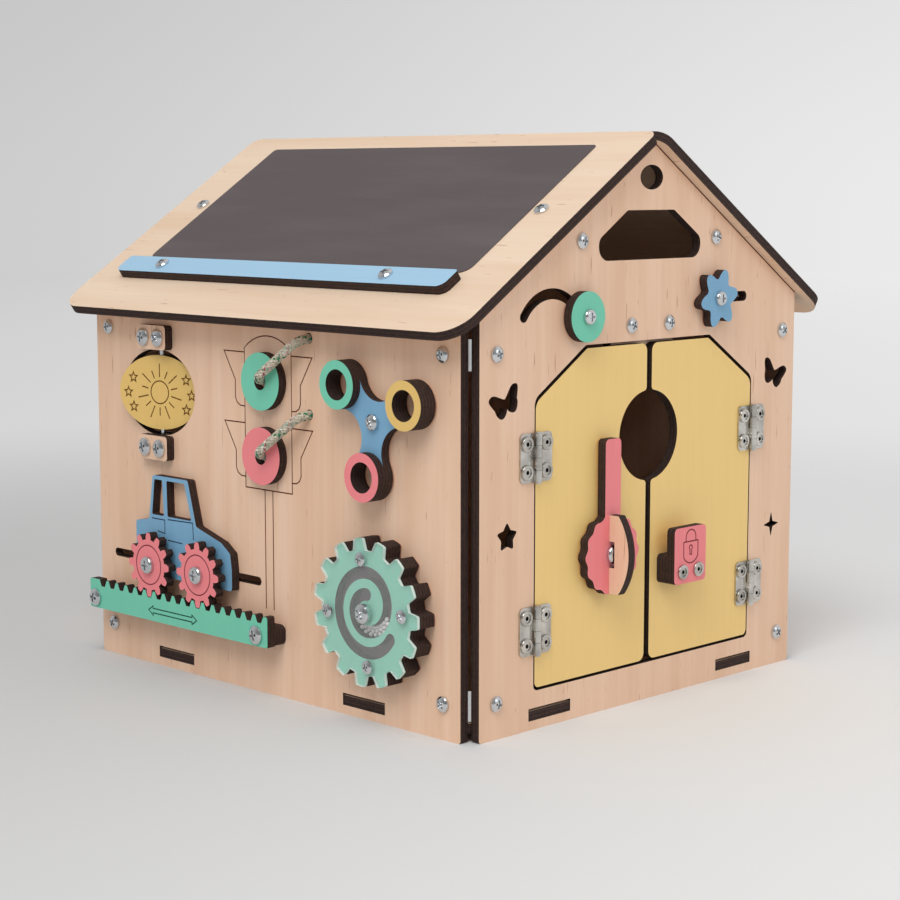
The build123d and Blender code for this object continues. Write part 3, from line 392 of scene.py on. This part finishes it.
def plated(name, colour, cloudAndPaintedReflection, cloudRough, baseRough):
    material, tree, shader = startMaterial(name)
    coords = addNode(tree, "ShaderNodeTexCoord").outputs["Object"]
    cloud = noise(tree, coords, width=platedSet["cloud"], detail=2.0)
    squeeze = (1 / platedSet["scratchLong"], 1 / platedSet["scratchLong"], 1 / platedSet["scratchWide"])
    scratch = noise(tree, reckonVector(tree, "MULTIPLY", coords, squeeze), width=1.0, detail=2.0)
    # the second tone is the bath cloudiness on zinc, and on nickel a far darker grey that paints dark
    # reflections
    tone = mixColours(tree, cloud, linear(colour), linear(cloudAndPaintedReflection))
    rough = spread(tree, cloud, span=(0.3, 0.7), target=(baseRough, baseRough + cloudRough))
    bump = bumpFrom(tree, scratch, strength=0.06, depth=platedSet["scratchDeep"])
    feed(tree, shader, {"Base Color": tone, "Roughness": rough, "Normal": bump, "Metallic": 1.0})
    return material


# chalkboard film: matt, nearly black brown-grey, with wiped chalk dust in soft diagonal smears
chalkSet = {"film": "#554A4B", "dust": "#A39A97", "wipeTurn": 28, "smearWide": 0.02, "smearLong": 0.12,
            "grit": 0.8 * mm, "gritDeep": 0.05 * mm}


def chalkFilm():
    material, tree, shader = startMaterial("chalkboard film")
    coords = addNode(tree, "ShaderNodeTexCoord").outputs["Object"]
    squeeze = (1 / chalkSet["smearWide"], 1 / chalkSet["smearLong"], 1 / chalkSet["smearWide"])
    wiped = addNode(tree, "ShaderNodeMapping", None,
                    {"Vector": coords, "Rotation": (0.0, 0.0, math.radians(chalkSet["wipeTurn"])),
                     "Scale": squeeze}).outputs[0]
    smear = addNode(tree, "ShaderNodeTexNoise", None,
                    {"Vector": wiped, "Scale": 1.0, "Detail": 5.0, "Roughness": 0.6}).outputs[0]
    grit = noise(tree, coords, width=chalkSet["grit"], detail=2.0)
    dust = spread(tree, smear, span=(0.4, 0.8), target=(0.0, 0.22))
    speck = reckon(tree, "MULTIPLY", dust, grit)
    colour = mixColours(tree, speck, linear(chalkSet["film"]), linear(chalkSet["dust"]))
    bump = bumpFrom(tree, grit, strength=0.3, depth=chalkSet["gritDeep"])
    rough = spread(tree, smear, target=(0.55, 0.75))
    feed(tree, shader, {"Base Color": colour, "Roughness": rough, "Normal": bump})
    return material


# cast acrylic sheet: water-clear, glossy, a few wipe marks; its sawn edges look milky, and their whiter look
# also paints the glow of light they gather the part that its body leaves is seen straight through each face
# of the sheet; the white of that body on each face is a painted reflection veil
def clearAcrylic(name, body):
    material, tree, shader = startMaterial(name)
    coords = addNode(tree, "ShaderNodeTexCoord").outputs["Object"]
    haze = noise(tree, coords, width=8 * mm, detail=4.0)
    rough = spread(tree, haze, span=(0.4, 0.8), target=(0.02, 0.07))
    feed(tree, shader, {"Base Color": linear("#EEF6F3"), "Roughness": rough, "Alpha": body, "IOR": 1.49})
    return material


# moulded polystyrene beads: milky white with a soft gloss and tiny tone changes
def whiteBeads():
    material, tree, shader = startMaterial("white moulded beads")
    coords = addNode(tree, "ShaderNodeTexCoord").outputs["Object"]
    cloud = noise(tree, coords, width=2 * mm, detail=1.0)
    colour = mixColours(tree, cloud, linear("#FBF8F6"), linear("#E9E4E1"))
    feed(tree, shader, {"Base Color": colour, "Roughness": 0.35})
    return material


# laser engraving: a thin scorched line with an uneven burn
def engraving(name, dark, light):
    material, tree, shader = startMaterial(name)
    coords = addNode(tree, "ShaderNodeTexCoord").outputs["Object"]
    burn = noise(tree, coords, width=1.5 * mm, detail=2.0)
    colour = mixColours(tree, burn, linear(dark), linear(light))
    feed(tree, shader, {"Base Color": colour, "Roughness": 0.85, "Specular IOR Level": 0.15})
    return material


pitch = math.radians(33.0)
roofFacing = (-math.sin(pitch), 0, math.cos(pitch))
roofRight = (math.sin(pitch), 0, math.cos(pitch))
flipTurn = math.radians(12.0)
flipFacing = (-math.cos(flipTurn), -math.sin(flipTurn), 0)
wallFacing = (-1, 0, 0)
gableFacing = (0, -1, 0)
upright = (0, 0, 1)
lengthwise = (0, 1, 0)
crosswise = (1, 0, 0)
# wheel is the mint made paler under the clear cover: painted sheen
paints = {"yellow": "#E6C070", "mint": "#72CBAE", "pink": "#F0858A", "blue": "#79AACB", "rail": "#9FC6E0",
          "honey": "#F3CF85", "grey": "#6A4E58", "wheel": "#83CDB6"}

zinc = plated("zinc plated steel", "#DCDEE0", "#C9CBCD", 0.08, 0.13)
# the dark grey second tone of nickel is painted reflection
nickel = plated("nickel plated steel", "#F0EDE6", "#85817B", 0.14, 0.14)
wallPly = plywood("birch plywood, side walls", wallFacing, upright)
gablePly = plywood("birch plywood, gables", gableFacing, upright)
floorPly = plywood("birch plywood, floor", upright, lengthwise)
roofTonesWithPaintedSheen = {"pale": "#EBD3BB", "tan": "#E6CBB0", "band": "#DDBC9D"}  # the roof sheets' paler, less saturated veneer is painted sheen and light on the up-facing slopes
finish = {
    "side_wall_left": wallPly, "side_wall_right": wallPly, "gable_front": gablePly, "gable_back": gablePly,
    "floor_panel": floorPly, "door_stop": gablePly, "axle_blocks": wallPly, "rack_spacers": wallPly,
    # the roofs take paler tones: painted sheen and light
    "roof_left": plywood("birch plywood, left roof", roofFacing, lengthwise, tones=roofTonesWithPaintedSheen),
    "roof_right": plywood("birch plywood, right roof", roofRight, lengthwise, tones=roofTonesWithPaintedSheen),
    "latch_handle": plywood("birch plywood, finger tab", crosswise, upright),
    "chalkboard": chalkFilm(), "gear_beads": whiteBeads(),
    "chalk_rail": plywood("blue painted plywood, rail", roofFacing, lengthwise, paints["rail"]),
    "flip_plate": plywood("yellow painted plywood, turning plate", flipFacing, upright, paints["yellow"],
                          bothSides=True),
}
doorPly = plywood("honey stained plywood", gableFacing, upright, paints["honey"], bothSides=True, show=0.03)
wallMint = plywood("mint painted plywood, wall", wallFacing, upright, paints["mint"])
wallPink = plywood("pink painted plywood, wall", wallFacing, upright, paints["pink"])
wallBlue = plywood("blue painted plywood, wall", wallFacing, upright, paints["blue"])
wallYellow = plywood("yellow painted plywood, wall", wallFacing, upright, paints["yellow"])
# the toothed wheel's paler mint is painted sheen of the clear cover over it
wheelMintWithPaintedSheen = plywood("mint painted plywood, toothed wheel", wallFacing, upright, paints["wheel"])
wallGrey = plywood("grey painted plywood, wall", wallFacing, upright, paints["grey"])
gablePink = plywood("pink painted plywood, gable", gableFacing, upright, paints["pink"])
finish.update({
    "door_left": doorPly, "door_right": doorPly,
    "lamp_green": wallMint, "spinner_ring_green": wallMint, "gear_spiral_plate": wheelMintWithPaintedSheen, "rack": wallMint,
    "lamp_pink": wallPink, "spinner_ring_pink": wallPink, "wheel_rear": wallPink, "wheel_front": wallPink,
    "spinner_plate": wallBlue, "tractor_body": wallBlue,
    "spinner_ring_yellow": wallYellow, "gear_back": wallGrey,
    "latch_disc": gablePink, "keeper_cover": gablePink, "keeper_spacers": gablePly,
    "slider_disc": plywood("mint painted plywood, gable", gableFacing, upright, paints["mint"]),
    "slider_star": plywood("blue painted plywood, gable", gableFacing, upright, paints["blue"]),
})
for name in nodes:
    if name.startswith("hinge_") or name.startswith("door_rivets"):
        finish[name] = nickel
for name, node in nodes.items():
    material = finish.get(name, zinc)
    if node.material_slots:
        for holder in node.material_slots:
            holder.material = material
    else:
        node.data.materials.append(material)
print("materials set on", len(nodes), "nodes")

# the clear sheet again, its back a hair off the painted plate so that the two faces don't share a plane
# face is the white share on the faces, a painted reflection veil; edge is the share on the edges, milkiness
# with painted glow
coverSet = {"air": 0.12 * mm, "face": 0.11, "edge": 0.7, "weld": 0.001 * mm, "near": 0.01 * mm,
            "squareOn": 0.5}
coverMesh = nodes["gear_cover"].data.copy()
coverMesh.name = "clear_cover"
coverMesh.materials.clear()
coverMesh.materials.append(clearAcrylic("clear cast acrylic", coverSet["face"]))
coverMesh.materials.append(clearAcrylic("clear cast acrylic, edges", coverSet["edge"]))
coverShape = bmesh.new()
coverShape.from_mesh(coverMesh)
bmesh.ops.remove_doubles(coverShape, verts=coverShape.verts, dist=coverSet["weld"])
backAt = max(v.co.x for v in coverShape.verts)
for corner in coverShape.verts:
    if corner.co.x > backAt - coverSet["near"]:
        corner.co.x -= coverSet["air"]
coverShape.normal_update()
for side in coverShape.faces:
    side.material_index = 0 if abs(side.normal.x) > coverSet["squareOn"] else 1
coverShape.to_mesh(coverMesh)
coverShape.free()
clearCover = bpy.data.objects.new("clear_cover", coverMesh)
scene.collection.objects.link(clearCover)
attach(clearCover, "gear_wheel")
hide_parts("gear_cover")
print("clear cover laid on")


# tree: screws on points, each turned its own way, with a domed head and a cross recess
def screwTree():
    tree, start = startTree("screws", {"Head Width": "Float", "Head Height": "Float",
                                       "Shank Width": "Float", "Reach": "Float", "Dome": "Float",
                                       "Recess Share": "Float", "Recess Thin": "Float", "Seed": "Int",
                                       "Material": "Material"})
    half = reckon(tree, "MULTIPLY", start["Head Width"], 0.5)
    head = addNode(tree, "GeometryNodeMeshCylinder", {"fill_type": "TRIANGLE_FAN"},
                   {"Vertices": 32, "Side Segments": 1, "Fill Segments": 8, "Radius": half,
                    "Depth": start["Head Height"]}).outputs[0]
    lift = reckon(tree, "MULTIPLY", start["Head Height"], 0.5)
    up = vectorOf(tree, 0.0, 0.0, lift)
    head = addNode(tree, "GeometryNodeTransform", None, {0: head, "Translation": up}).outputs[0]
    place = addNode(tree, "GeometryNodeInputPosition").outputs[0]
    xyz = addNode(tree, "ShaderNodeSeparateXYZ", None, {0: place}).outputs
    level = vectorOf(tree, xyz[0], xyz[1])
    away = reckonVector(tree, "LENGTH", level)
    share = reckon(tree, "DIVIDE", away, half)
    share = reckon(tree, "POWER", share, 3.0)
    drop = reckon(tree, "MULTIPLY", share, start["Dome"])
    keep = reckon(tree, "SUBTRACT", 1.0, drop)
    tall = reckon(tree, "MULTIPLY", xyz[2], keep)
    domed = vectorOf(tree, xyz[0], xyz[1], tall)
    head = addNode(tree, "GeometryNodeSetPosition", None, {0: head, "Position": domed}).outputs[0]
    long = reckon(tree, "MULTIPLY", start["Head Width"], start["Recess Share"])
    thin = reckon(tree, "MULTIPLY", long, start["Recess Thin"])
    top = vectorOf(tree, 0.0, 0.0, start["Head Height"])
    cutters = []
    for sides in ((long, thin), (thin, long)):
        size = vectorOf(tree, *sides, start["Head Height"])
        bar = addNode(tree, "GeometryNodeMeshCube", None, {"Size": size}).outputs[0]
        cutters.append(addNode(tree, "GeometryNodeTransform", None, {0: bar, "Translation": top}).outputs[0])
    cut = addNode(tree, "GeometryNodeMeshBoolean", {"operation": "DIFFERENCE"},
                  {"Mesh 1": head, "Mesh 2": cutters}).outputs[0]
    thick = reckon(tree, "MULTIPLY", start["Shank Width"], 0.5)
    shank = addNode(tree, "GeometryNodeMeshCylinder", None,
                    {"Vertices": 20, "Radius": thick, "Depth": start["Reach"]}).outputs[0]
    sink = reckon(tree, "MULTIPLY", start["Reach"], -0.5)
    down = vectorOf(tree, 0.0, 0.0, sink)
    shank = addNode(tree, "GeometryNodeTransform", None, {0: shank, "Translation": down}).outputs[0]
    whole = addNode(tree, "GeometryNodeJoinGeometry", None, {0: [cut, shank]}).outputs[0]
    facing = addNode(tree, "GeometryNodeInputNamedAttribute", {"data_type": "FLOAT_VECTOR"},
                     {"Name": "facing"}).outputs[0]
    turn = addNode(tree, "FunctionNodeAlignRotationToVector", {"axis": "Z"}, {"Vector": facing}).outputs[0]
    roll = addNode(tree, "FunctionNodeRandomValue", {"data_type": "FLOAT"},
                   {2: 0.0, 3: math.pi, "Seed": start["Seed"]}).outputs[1]
    spin = addNode(tree, "FunctionNodeAxisAngleToRotation", None, {"Axis": upright, "Angle": roll}).outputs[0]
    turn = addNode(tree, "FunctionNodeRotateRotation", {"rotation_space": "LOCAL"},
                   {0: turn, 1: spin}).outputs[0]
    many = addNode(tree, "GeometryNodeInstanceOnPoints", None,
                   {0: start["Geometry"], "Instance": whole, "Rotation": turn}).outputs[0]
    real = addNode(tree, "GeometryNodeRealizeInstances", None, {0: many}).outputs[0]
    endTree(tree, real, start["Material"])
    return tree


# each kind of screw: head width, head height, shank width and reach in millimetres
screwSet = {"small": (8.2, 2.2, 3.0, 12.5), "medium": (9.4, 3.0, 4.0, 12.3), "large": (11.6, 3.4, 5.0, 16.5),
            "spinner": (9.4, 3.0, 4.0, 20.3), "wheel": (11.6, 3.4, 5.0, 27.8)}
screwLabels = ("Head Width", "Head Height", "Shank Width", "Reach")
screwLook = {"Dome": 0.55, "Recess Share": 0.56, "Recess Thin": 0.24, "Seed": 7, "Material": zinc}
houseSet = {"wallX": 157.5, "gableY": 180.0, "apex": 346.0, "half": 150}
shiftY = 7.5  # the house is moved this far back so that it stands over the origin

# where the screws sit, in millimetres before that move, and how far out pieces lift their heads
seatSet = {"low": 21.4, "high": 224.0, "wallY": 158.7, "gableX": 136.2,
           "gableTop": (63.79, 286.33), "roof": (75.39, 304.19), "rail": (-144.50, 266.47),
           "railY": (116.0, -98.0), "stopX": (-18.0, 18.0), "stopZ": 234.5,
           "blockY": 105, "blockApart": 7.6, "blockZ": (220.0, 147.5), "blockLift": 6,
           "rackY": (159.0, -9.5), "rackZ": 41.2, "rackLift": 15,
           "spinnerAt": (-109.0, 182.0), "spinnerLift": 8.5, "wheelAt": (-108.0, 69.5), "wheelLift": 16,
           "coverLift": 15, "coverRing": 32, "coverTurns": (5, 95, 185, 275)}


# a seat on the left wall, its head lifted out by what lies under it
def onWall(y, z, lift):
    return (-houseSet["wallX"] - lift, y, z), wallFacing


wallScrews = []
for sx in (-1, 1):
    for sy in (-1, 1):
        gableY = sy * houseSet["gableY"]
        for z in (seatSet["low"], seatSet["high"]):
            wallScrews.append(((sx * houseSet["wallX"], sy * seatSet["wallY"], z), (sx, 0, 0)))
            wallScrews.append(((sx * seatSet["gableX"], gableY, z), (0, sy, 0)))
        x, z = seatSet["gableTop"]
        wallScrews.append(((sx * x, gableY, z), (0, sy, 0)))
        x, z = seatSet["roof"]
        wallScrews.append(((sx * x, sy * seatSet["wallY"], z), (sx * math.sin(pitch), 0, math.cos(pitch))))
for y in seatSet["railY"]:
    wallScrews.append(((seatSet["rail"][0], y, seatSet["rail"][1]), roofFacing))
for x in seatSet["stopX"]:
    wallScrews.append(((x, -houseSet["gableY"], seatSet["stopZ"]), gableFacing))
largeScrews = [onWall(seatSet["blockY"] + s * seatSet["blockApart"], z, seatSet["blockLift"])
               for z in seatSet["blockZ"] for s in (-1, 1)]
largeScrews += [onWall(y, seatSet["rackZ"], seatSet["rackLift"]) for y in seatSet["rackY"]]
spinnerPivot = [onWall(*seatSet["spinnerAt"], seatSet["spinnerLift"])]
wheelPivot = [onWall(*seatSet["wheelAt"], seatSet["wheelLift"])]
coverScrews = []
for turn in seatSet["coverTurns"]:
    y = seatSet["wheelAt"][0] - seatSet["coverRing"] * math.cos(math.radians(turn))
    z = seatSet["wheelAt"][1] + seatSet["coverRing"] * math.sin(math.radians(turn))
    coverScrews.append(onWall(y, z, seatSet["coverLift"]))

screws = screwTree()
for name, node, kind, seats, body in (("wall_screw_set", "wall_screws", "medium", wallScrews, "house"),
                                      ("large_screw_set", "large_screws", "large", largeScrews, "house"),
                                      ("spinner_bolt", "pivot_bolts", "spinner", spinnerPivot, "house"),
                                      ("wheel_bolt", "pivot_bolts", "wheel", wheelPivot, "house"),
                                      ("cover_screw_set", "gear_screws", "small", coverScrews, "gear_wheel")):
    sizes = {label: size * mm for label, size in zip(screwLabels, screwSet[kind])}
    points = [(x * mm, (y + shiftY) * mm, z * mm) for (x, y, z), _ in seats]
    piece = shapeFromTree(name, screws, {**sizes, **screwLook}, points, facing=[f for _, f in seats])
    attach(piece, body)
    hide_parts(node)
print("screws driven")


# flat scorched lines on a face, all in millimetres; a face is its origin, two directions and the way out
engraveSet = {"proud": 0.06, "fine": 0.75, "rim": 0.8, "sharpest": 0.35,
              "lift": {"wall": 0, "gable": 0, "tractor": 6.5, "wheel": 15, "rack": 15, "keeper": 14,
                       "plate": 3}}
plateSet = {"x": -154.5, "y": 105, "z": 183.5}
wallFace = (Vector((-houseSet["wallX"], shiftY, 0)), Vector(lengthwise), Vector(upright), Vector(wallFacing))
frontFace = (Vector((0, shiftY - houseSet["gableY"], 0)),
             Vector(crosswise), Vector(upright), Vector(gableFacing))
backFace = (Vector((0, shiftY + houseSet["gableY"], 0)),
            -Vector(crosswise), Vector(upright), -Vector(gableFacing))
plateFace = (Vector((plateSet["x"], plateSet["y"] + shiftY, plateSet["z"])),
             Vector((-math.sin(flipTurn), math.cos(flipTurn), 0)), Vector(upright), Vector(flipFacing))


def arcPoints(cx, cy, radius, begin, end, count):
    angles = [math.radians(begin + (end - begin) * k / count) for k in range(count + 1)]
    return [(cx + radius * math.cos(a), cy + radius * math.sin(a)) for a in angles]


# the two sides of a line of the given width, point by point
def lineSides(points, closed, width):
    line = [Vector(p) for p in points]
    count = len(line)
    pairs = []
    for i, here in enumerate(line):
        before = line[i - 1] if closed or i > 0 else here
        after = line[(i + 1) % count] if closed or i < count - 1 else here
        first = (here - before).normalized() if here != before else (after - here).normalized()
        second = (after - here).normalized() if here != after else first
        normal = Vector((-first.y - second.y, first.x + second.x)).normalized()
        lean = max(engraveSet["sharpest"], normal.dot(Vector((-first.y, first.x))))
        reach = width / 2 / lean
        pairs.append([here + normal * reach, here - normal * reach])
    return pairs


def engrave(name, face, lines, place, width, material, body):
    origin, across, up, out = face
    lift = engraveSet["lift"][place] + engraveSet["proud"]
    shape = bmesh.new()
    for points, closed in lines:
        corners = [[shape.verts.new((origin + across * p.x + up * p.y + out * lift) * mm) for p in pair]
                   for pair in lineSides(points, closed, width)]
        count = len(corners)
        for i in range(count if closed else count - 1):
            a, b = corners[i], corners[(i + 1) % count]
            shape.faces.new((a[0], a[1], b[1], b[0]))
    shape.normal_update()
    for item in shape.faces:
        if item.normal.dot(out) < 0:
            item.normal_flip()
    mesh = bpy.data.meshes.new(name)
    shape.to_mesh(mesh)
    shape.free()
    mesh.materials.append(material)
    piece = bpy.data.objects.new(name, mesh)
    scene.collection.objects.link(piece)
    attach(piece, body)


scorched = engraving("scorched engraving on birch", "#4A1A0A", "#6A2C14")
onMint = engraving("scorched engraving on mint paint", "#123A33", "#2A5A4E")
onPink = engraving("scorched engraving on pink paint", "#5A1F22", "#8A4044")
onBlue = engraving("scorched engraving on blue paint", "#1C2C40", "#3A506B")
onYellow = engraving("scorched engraving on yellow paint", "#5A3A14", "#835A28")
fine = engraveSet["fine"]

# traffic light round the two discs, with hoods beside each lamp and a post below
lightSet = {"box": [(17, 218), (17, 130), (-27.5, 130), (-27.5, 218)], "cap": (-5.25, 193, 33.4, 132, 48, 10),
            "hoodRear": ((17, 215.2), (37, 215.2), (26.2, 197.5), (26.2, 186.2),
                         (24.6, 183.2), (21.5, 181.4), (17, 181.2)),
            "hoodFront": ((-27.5, 215.2), (-46.8, 215.2), (-35.8, 197.5), (-35.8, 186.2),
                          (-34.4, 183.2), (-31.5, 181.4), (-27.5, 181.2)),
            "drops": (0, 44.5), "postY": (-1.5, -9), "postZ": (130, 54.5)}
lightLines = [(lightSet["box"] + arcPoints(*lightSet["cap"]), True)]
for drop in lightSet["drops"]:
    for hood in (lightSet["hoodRear"], lightSet["hoodFront"]):
        lightLines.append(([(y, z - drop) for y, z in hood], False))
lightLines += [([(y, z) for z in lightSet["postZ"]], False) for y in lightSet["postY"]]
engrave("traffic_light_lines", wallFace, lightLines, "wall", fine, scorched, "house")

# scorched rim of the gables along the roof
rimTop = houseSet["apex"] - engraveSet["rim"] / 2 / math.cos(pitch)
rimFall = houseSet["half"] * math.tan(pitch)
rimLines = [([(0, rimTop), (side * houseSet["half"], rimTop - rimFall)], False) for side in (-1, 1)]
for name, face in (("front", frontFace), ("back", backFace)):
    engrave("gable_" + name + "_rim", face, rimLines, "gable", engraveSet["rim"], scorched, "house")

# cab and bonnet of the tractor, a ring on each wheel, an arrow on the rack
tractorSet = {"lines": [([(106.7, 100.6), (92.9, 100.6), (92.9, 91.7), (100.8, 92.7)], False),
                        ([(89.7, 101.3), (63.6, 102), (62.9, 91)], False),
                        ([(89.7, 87.6), (74.6, 87.1)], False)],
              "wheelsY": {"rear": 100.0, "front": 49.0}, "ring": (71, 13, 0, 352.5, 47),
              "arrow": [(100.7, 41), (95.9, 44.1), (95.9, 42.5), (55, 42.5), (55, 44.1),
                        (50.2, 41), (55, 37.9), (55, 39.5), (95.9, 39.5), (95.9, 37.9)]}
engrave("tractor_lines", wallFace, tractorSet["lines"], "tractor", fine, onBlue, "tractor")
for name, y in tractorSet["wheelsY"].items():
    ring = [(arcPoints(y, *tractorSet["ring"]), True)]
    engrave("wheel_" + name + "_line", wallFace, ring, "wheel", fine, onPink, "wheel_" + name)
engrave("rack_arrow", wallFace, [(tractorSet["arrow"], True)], "rack", fine, onMint, "house")

# padlock on the keeper: body, shackle and keyhole
lockSet = {"left": [(18.6, 98.5), (18.6, 89)], "bottom": (25.7, 92.9, 8.1, 209, 331, 8),
           "right": [(32.8, 89), (32.8, 98.5)], "shackleLeft": [(20.8, 98.5), (20.8, 101)],
           "shackle": (25.7, 101, 4.9, 180, 0, 12), "shackleRight": [(30.6, 98.5)],
           "keyhole": (25.7, 94.6, 1.5, 240, -60, 12), "keyFoot": [(26.6, 90.2), (24.8, 90.2)]}
lockLines = [(lockSet["left"] + arcPoints(*lockSet["bottom"]) + lockSet["right"], True),
             (lockSet["shackleLeft"] + arcPoints(*lockSet["shackle"])[1:] + lockSet["shackleRight"], False),
             (arcPoints(*lockSet["keyhole"]) + lockSet["keyFoot"], True)]
engrave("padlock_lines", frontFace, lockLines, "keeper", fine, onPink, "right_door")

# a plain sun with long and short rays and small stars on the turning plate
sunSet = {"disc": 7.5, "rays": 14, "gap": 2.4, "long": 9.0, "short": 5.5, "pen": 0.825, "ring": (0, 350, 35),
          "stars": ((22.5, 9.0), (27.0, -1.0), (22.5, -10.5)), "star": 3.4, "starInner": 0.45, "starTips": 5}


def onRing(radius, angle):
    return radius * math.cos(angle), radius * math.sin(angle)


sunLines = [(arcPoints(0, 0, sunSet["disc"], *sunSet["ring"]), True)]
for k in range(sunSet["rays"]):
    a = 2 * math.pi * k / sunSet["rays"] + math.pi / 2
    begin = sunSet["disc"] + sunSet["gap"]
    end = begin + (sunSet["long"] if k % 2 == 0 else sunSet["short"])
    sunLines.append(([onRing(begin, a), onRing(end, a)], False))
for side in (-1, 1):
    for away, height in sunSet["stars"]:
        star = []
        for k in range(2 * sunSet["starTips"]):
            size = sunSet["star"] if k % 2 == 0 else sunSet["star"] * sunSet["starInner"]
            x, y = onRing(size, math.pi / 2 + math.pi * k / sunSet["starTips"])
            star.append((side * away + x, height + y))
        sunLines.append((star, True))
engrave("sun_lines", plateFace, sunLines, "plate", sunSet["pen"], onYellow, "flip")
print("engraving done")


# studio: pale floor that fades into a pale grey surround, both with painted light that makes them lighter to
# the right, one large soft lamp above, a weaker one in front
# left and right are the paper's greys at the two ends of its painted light falloff
stageSet = {"radius": 6.0, "left": "#CACACA", "right": "#EDEDED", "fade": (0.45, 1.5), "ambient": 0.55,
            "nearReach": 0.45, "farReach": 2.2, "skyReach": 0.33, "behind": 0.42, "top": 0.9,
            "dark": (-0.75, 0.2), "sink": (-0.02, 0.14), "aim": (0, 0, 0.15),
            "key": {"place": (-1.7, -0.9, 2.4), "size": 1.9, "power": 46.0},
            "fill": {"place": (0.6, -2.6, 1.3), "size": 1.6, "power": 7.0}}


# the paper's pale grey, with painted light that makes it lighter to the right of the house
def paperWithPaintedLightFalloff(tree, coords, reach):
    side = reckonVector(tree, "DOT_PRODUCT", coords, (math.sqrt(0.5), -math.sqrt(0.5), 0.0))
    share = spread(tree, side, span=(-reach, reach), bend="SMOOTHSTEP")
    return mixColours(tree, share, linear(stageSet["left"]), linear(stageSet["right"]))


# 1 for rays that show the paper itself or its mirror image, 0 for those that only carry its light
def onlySeen(tree):
    rays = addNode(tree, "ShaderNodeLightPath").outputs
    shown = rays["Is Camera Ray"]
    for label in ("Is Glossy Ray", "Is Transmission Ray"):
        shown = reckon(tree, "MAXIMUM", shown, rays[label])
    return shown


floorShape = bmesh.new()
bmesh.ops.create_circle(floorShape, cap_ends=True, cap_tris=True, segments=96, radius=stageSet["radius"])
floorMesh = bpy.data.meshes.new("studio_floor")
floorShape.to_mesh(floorMesh)
floorShape.free()
studioFloor = bpy.data.objects.new("studio_floor", floorMesh)
scene.collection.objects.link(studioFloor)
material, tree, shader = startMaterial("matt studio paper")
coords = addNode(tree, "ShaderNodeTexCoord").outputs["Object"]
away = reckonVector(tree, "LENGTH", coords)
fade = spread(tree, away, span=stageSet["fade"], bend="SMOOTHSTEP")
feed(tree, shader, {"Base Color": paperWithPaintedLightFalloff(tree, coords, stageSet["nearReach"]), "Roughness": 0.8})
glow = addNode(tree, "ShaderNodeEmission", None,
               {"Color": paperWithPaintedLightFalloff(tree, coords, stageSet["farReach"]), "Strength": 1.0}).outputs[0]
fade = reckon(tree, "MULTIPLY", fade, onlySeen(tree))
blend = addNode(tree, "ShaderNodeMixShader", None, {0: fade, 1: shader.outputs[0], 2: glow}).outputs[0]
tree.links.new(blend, tree.nodes["Material Output"].inputs["Surface"])
floorMesh.materials.append(material)

world = bpy.data.worlds.new("studio")
world.use_nodes = True
scene.world = world
tree = world.node_tree
direction = addNode(tree, "ShaderNodeTexCoord").outputs["Generated"]
# reflections see a darker room behind the camera, which gives bare metal its contrast
turned = reckonVector(tree, "DOT_PRODUCT", direction, (math.sqrt(0.5), math.sqrt(0.5), 0.0))
bright = spread(tree, turned, span=stageSet["dark"], target=(stageSet["behind"], 1.0), bend="SMOOTHSTEP")
direct = addNode(tree, "ShaderNodeLightPath").outputs["Is Camera Ray"]
bright = reckon(tree, "MAXIMUM", bright, direct)
rise = addNode(tree, "ShaderNodeSeparateXYZ", None, {0: direction}).outputs[2]
dim = spread(tree, rise, span=stageSet["sink"], target=(1.0, stageSet["top"]), bend="SMOOTHSTEP")
bright = reckon(tree, "MULTIPLY", bright, dim)
paper = addNode(tree, "ShaderNodeBackground", None,
                {"Color": paperWithPaintedLightFalloff(tree, direction, stageSet["skyReach"]), "Strength": bright}).outputs[0]
light = tree.nodes["Background"]
feed(tree, light, {"Color": (1.0, 1.0, 1.0, 1.0), "Strength": stageSet["ambient"]})
mixed = addNode(tree, "ShaderNodeMixShader", None,
                {0: onlySeen(tree), 1: light.outputs[0], 2: paper}).outputs[0]
tree.links.new(mixed, tree.nodes["World Output"].inputs["Surface"])

for name in ("key", "fill"):
    values = stageSet[name]
    lampData = bpy.data.lights.new(name + "_lamp", "AREA")
    lampData.shape = "DISK"
    lampData.size = values["size"]
    lampData.energy = values["power"]
    lamp = bpy.data.objects.new(name + "_lamp", lampData)
    lamp.location = values["place"]
    aim = Vector(stageSet["aim"]) - Vector(values["place"])
    lamp.rotation_euler = aim.to_track_quat("-Z", "Y").to_euler()
    scene.collection.objects.link(lamp)

scene.view_settings.view_transform = "Standard"
print("studio lit")
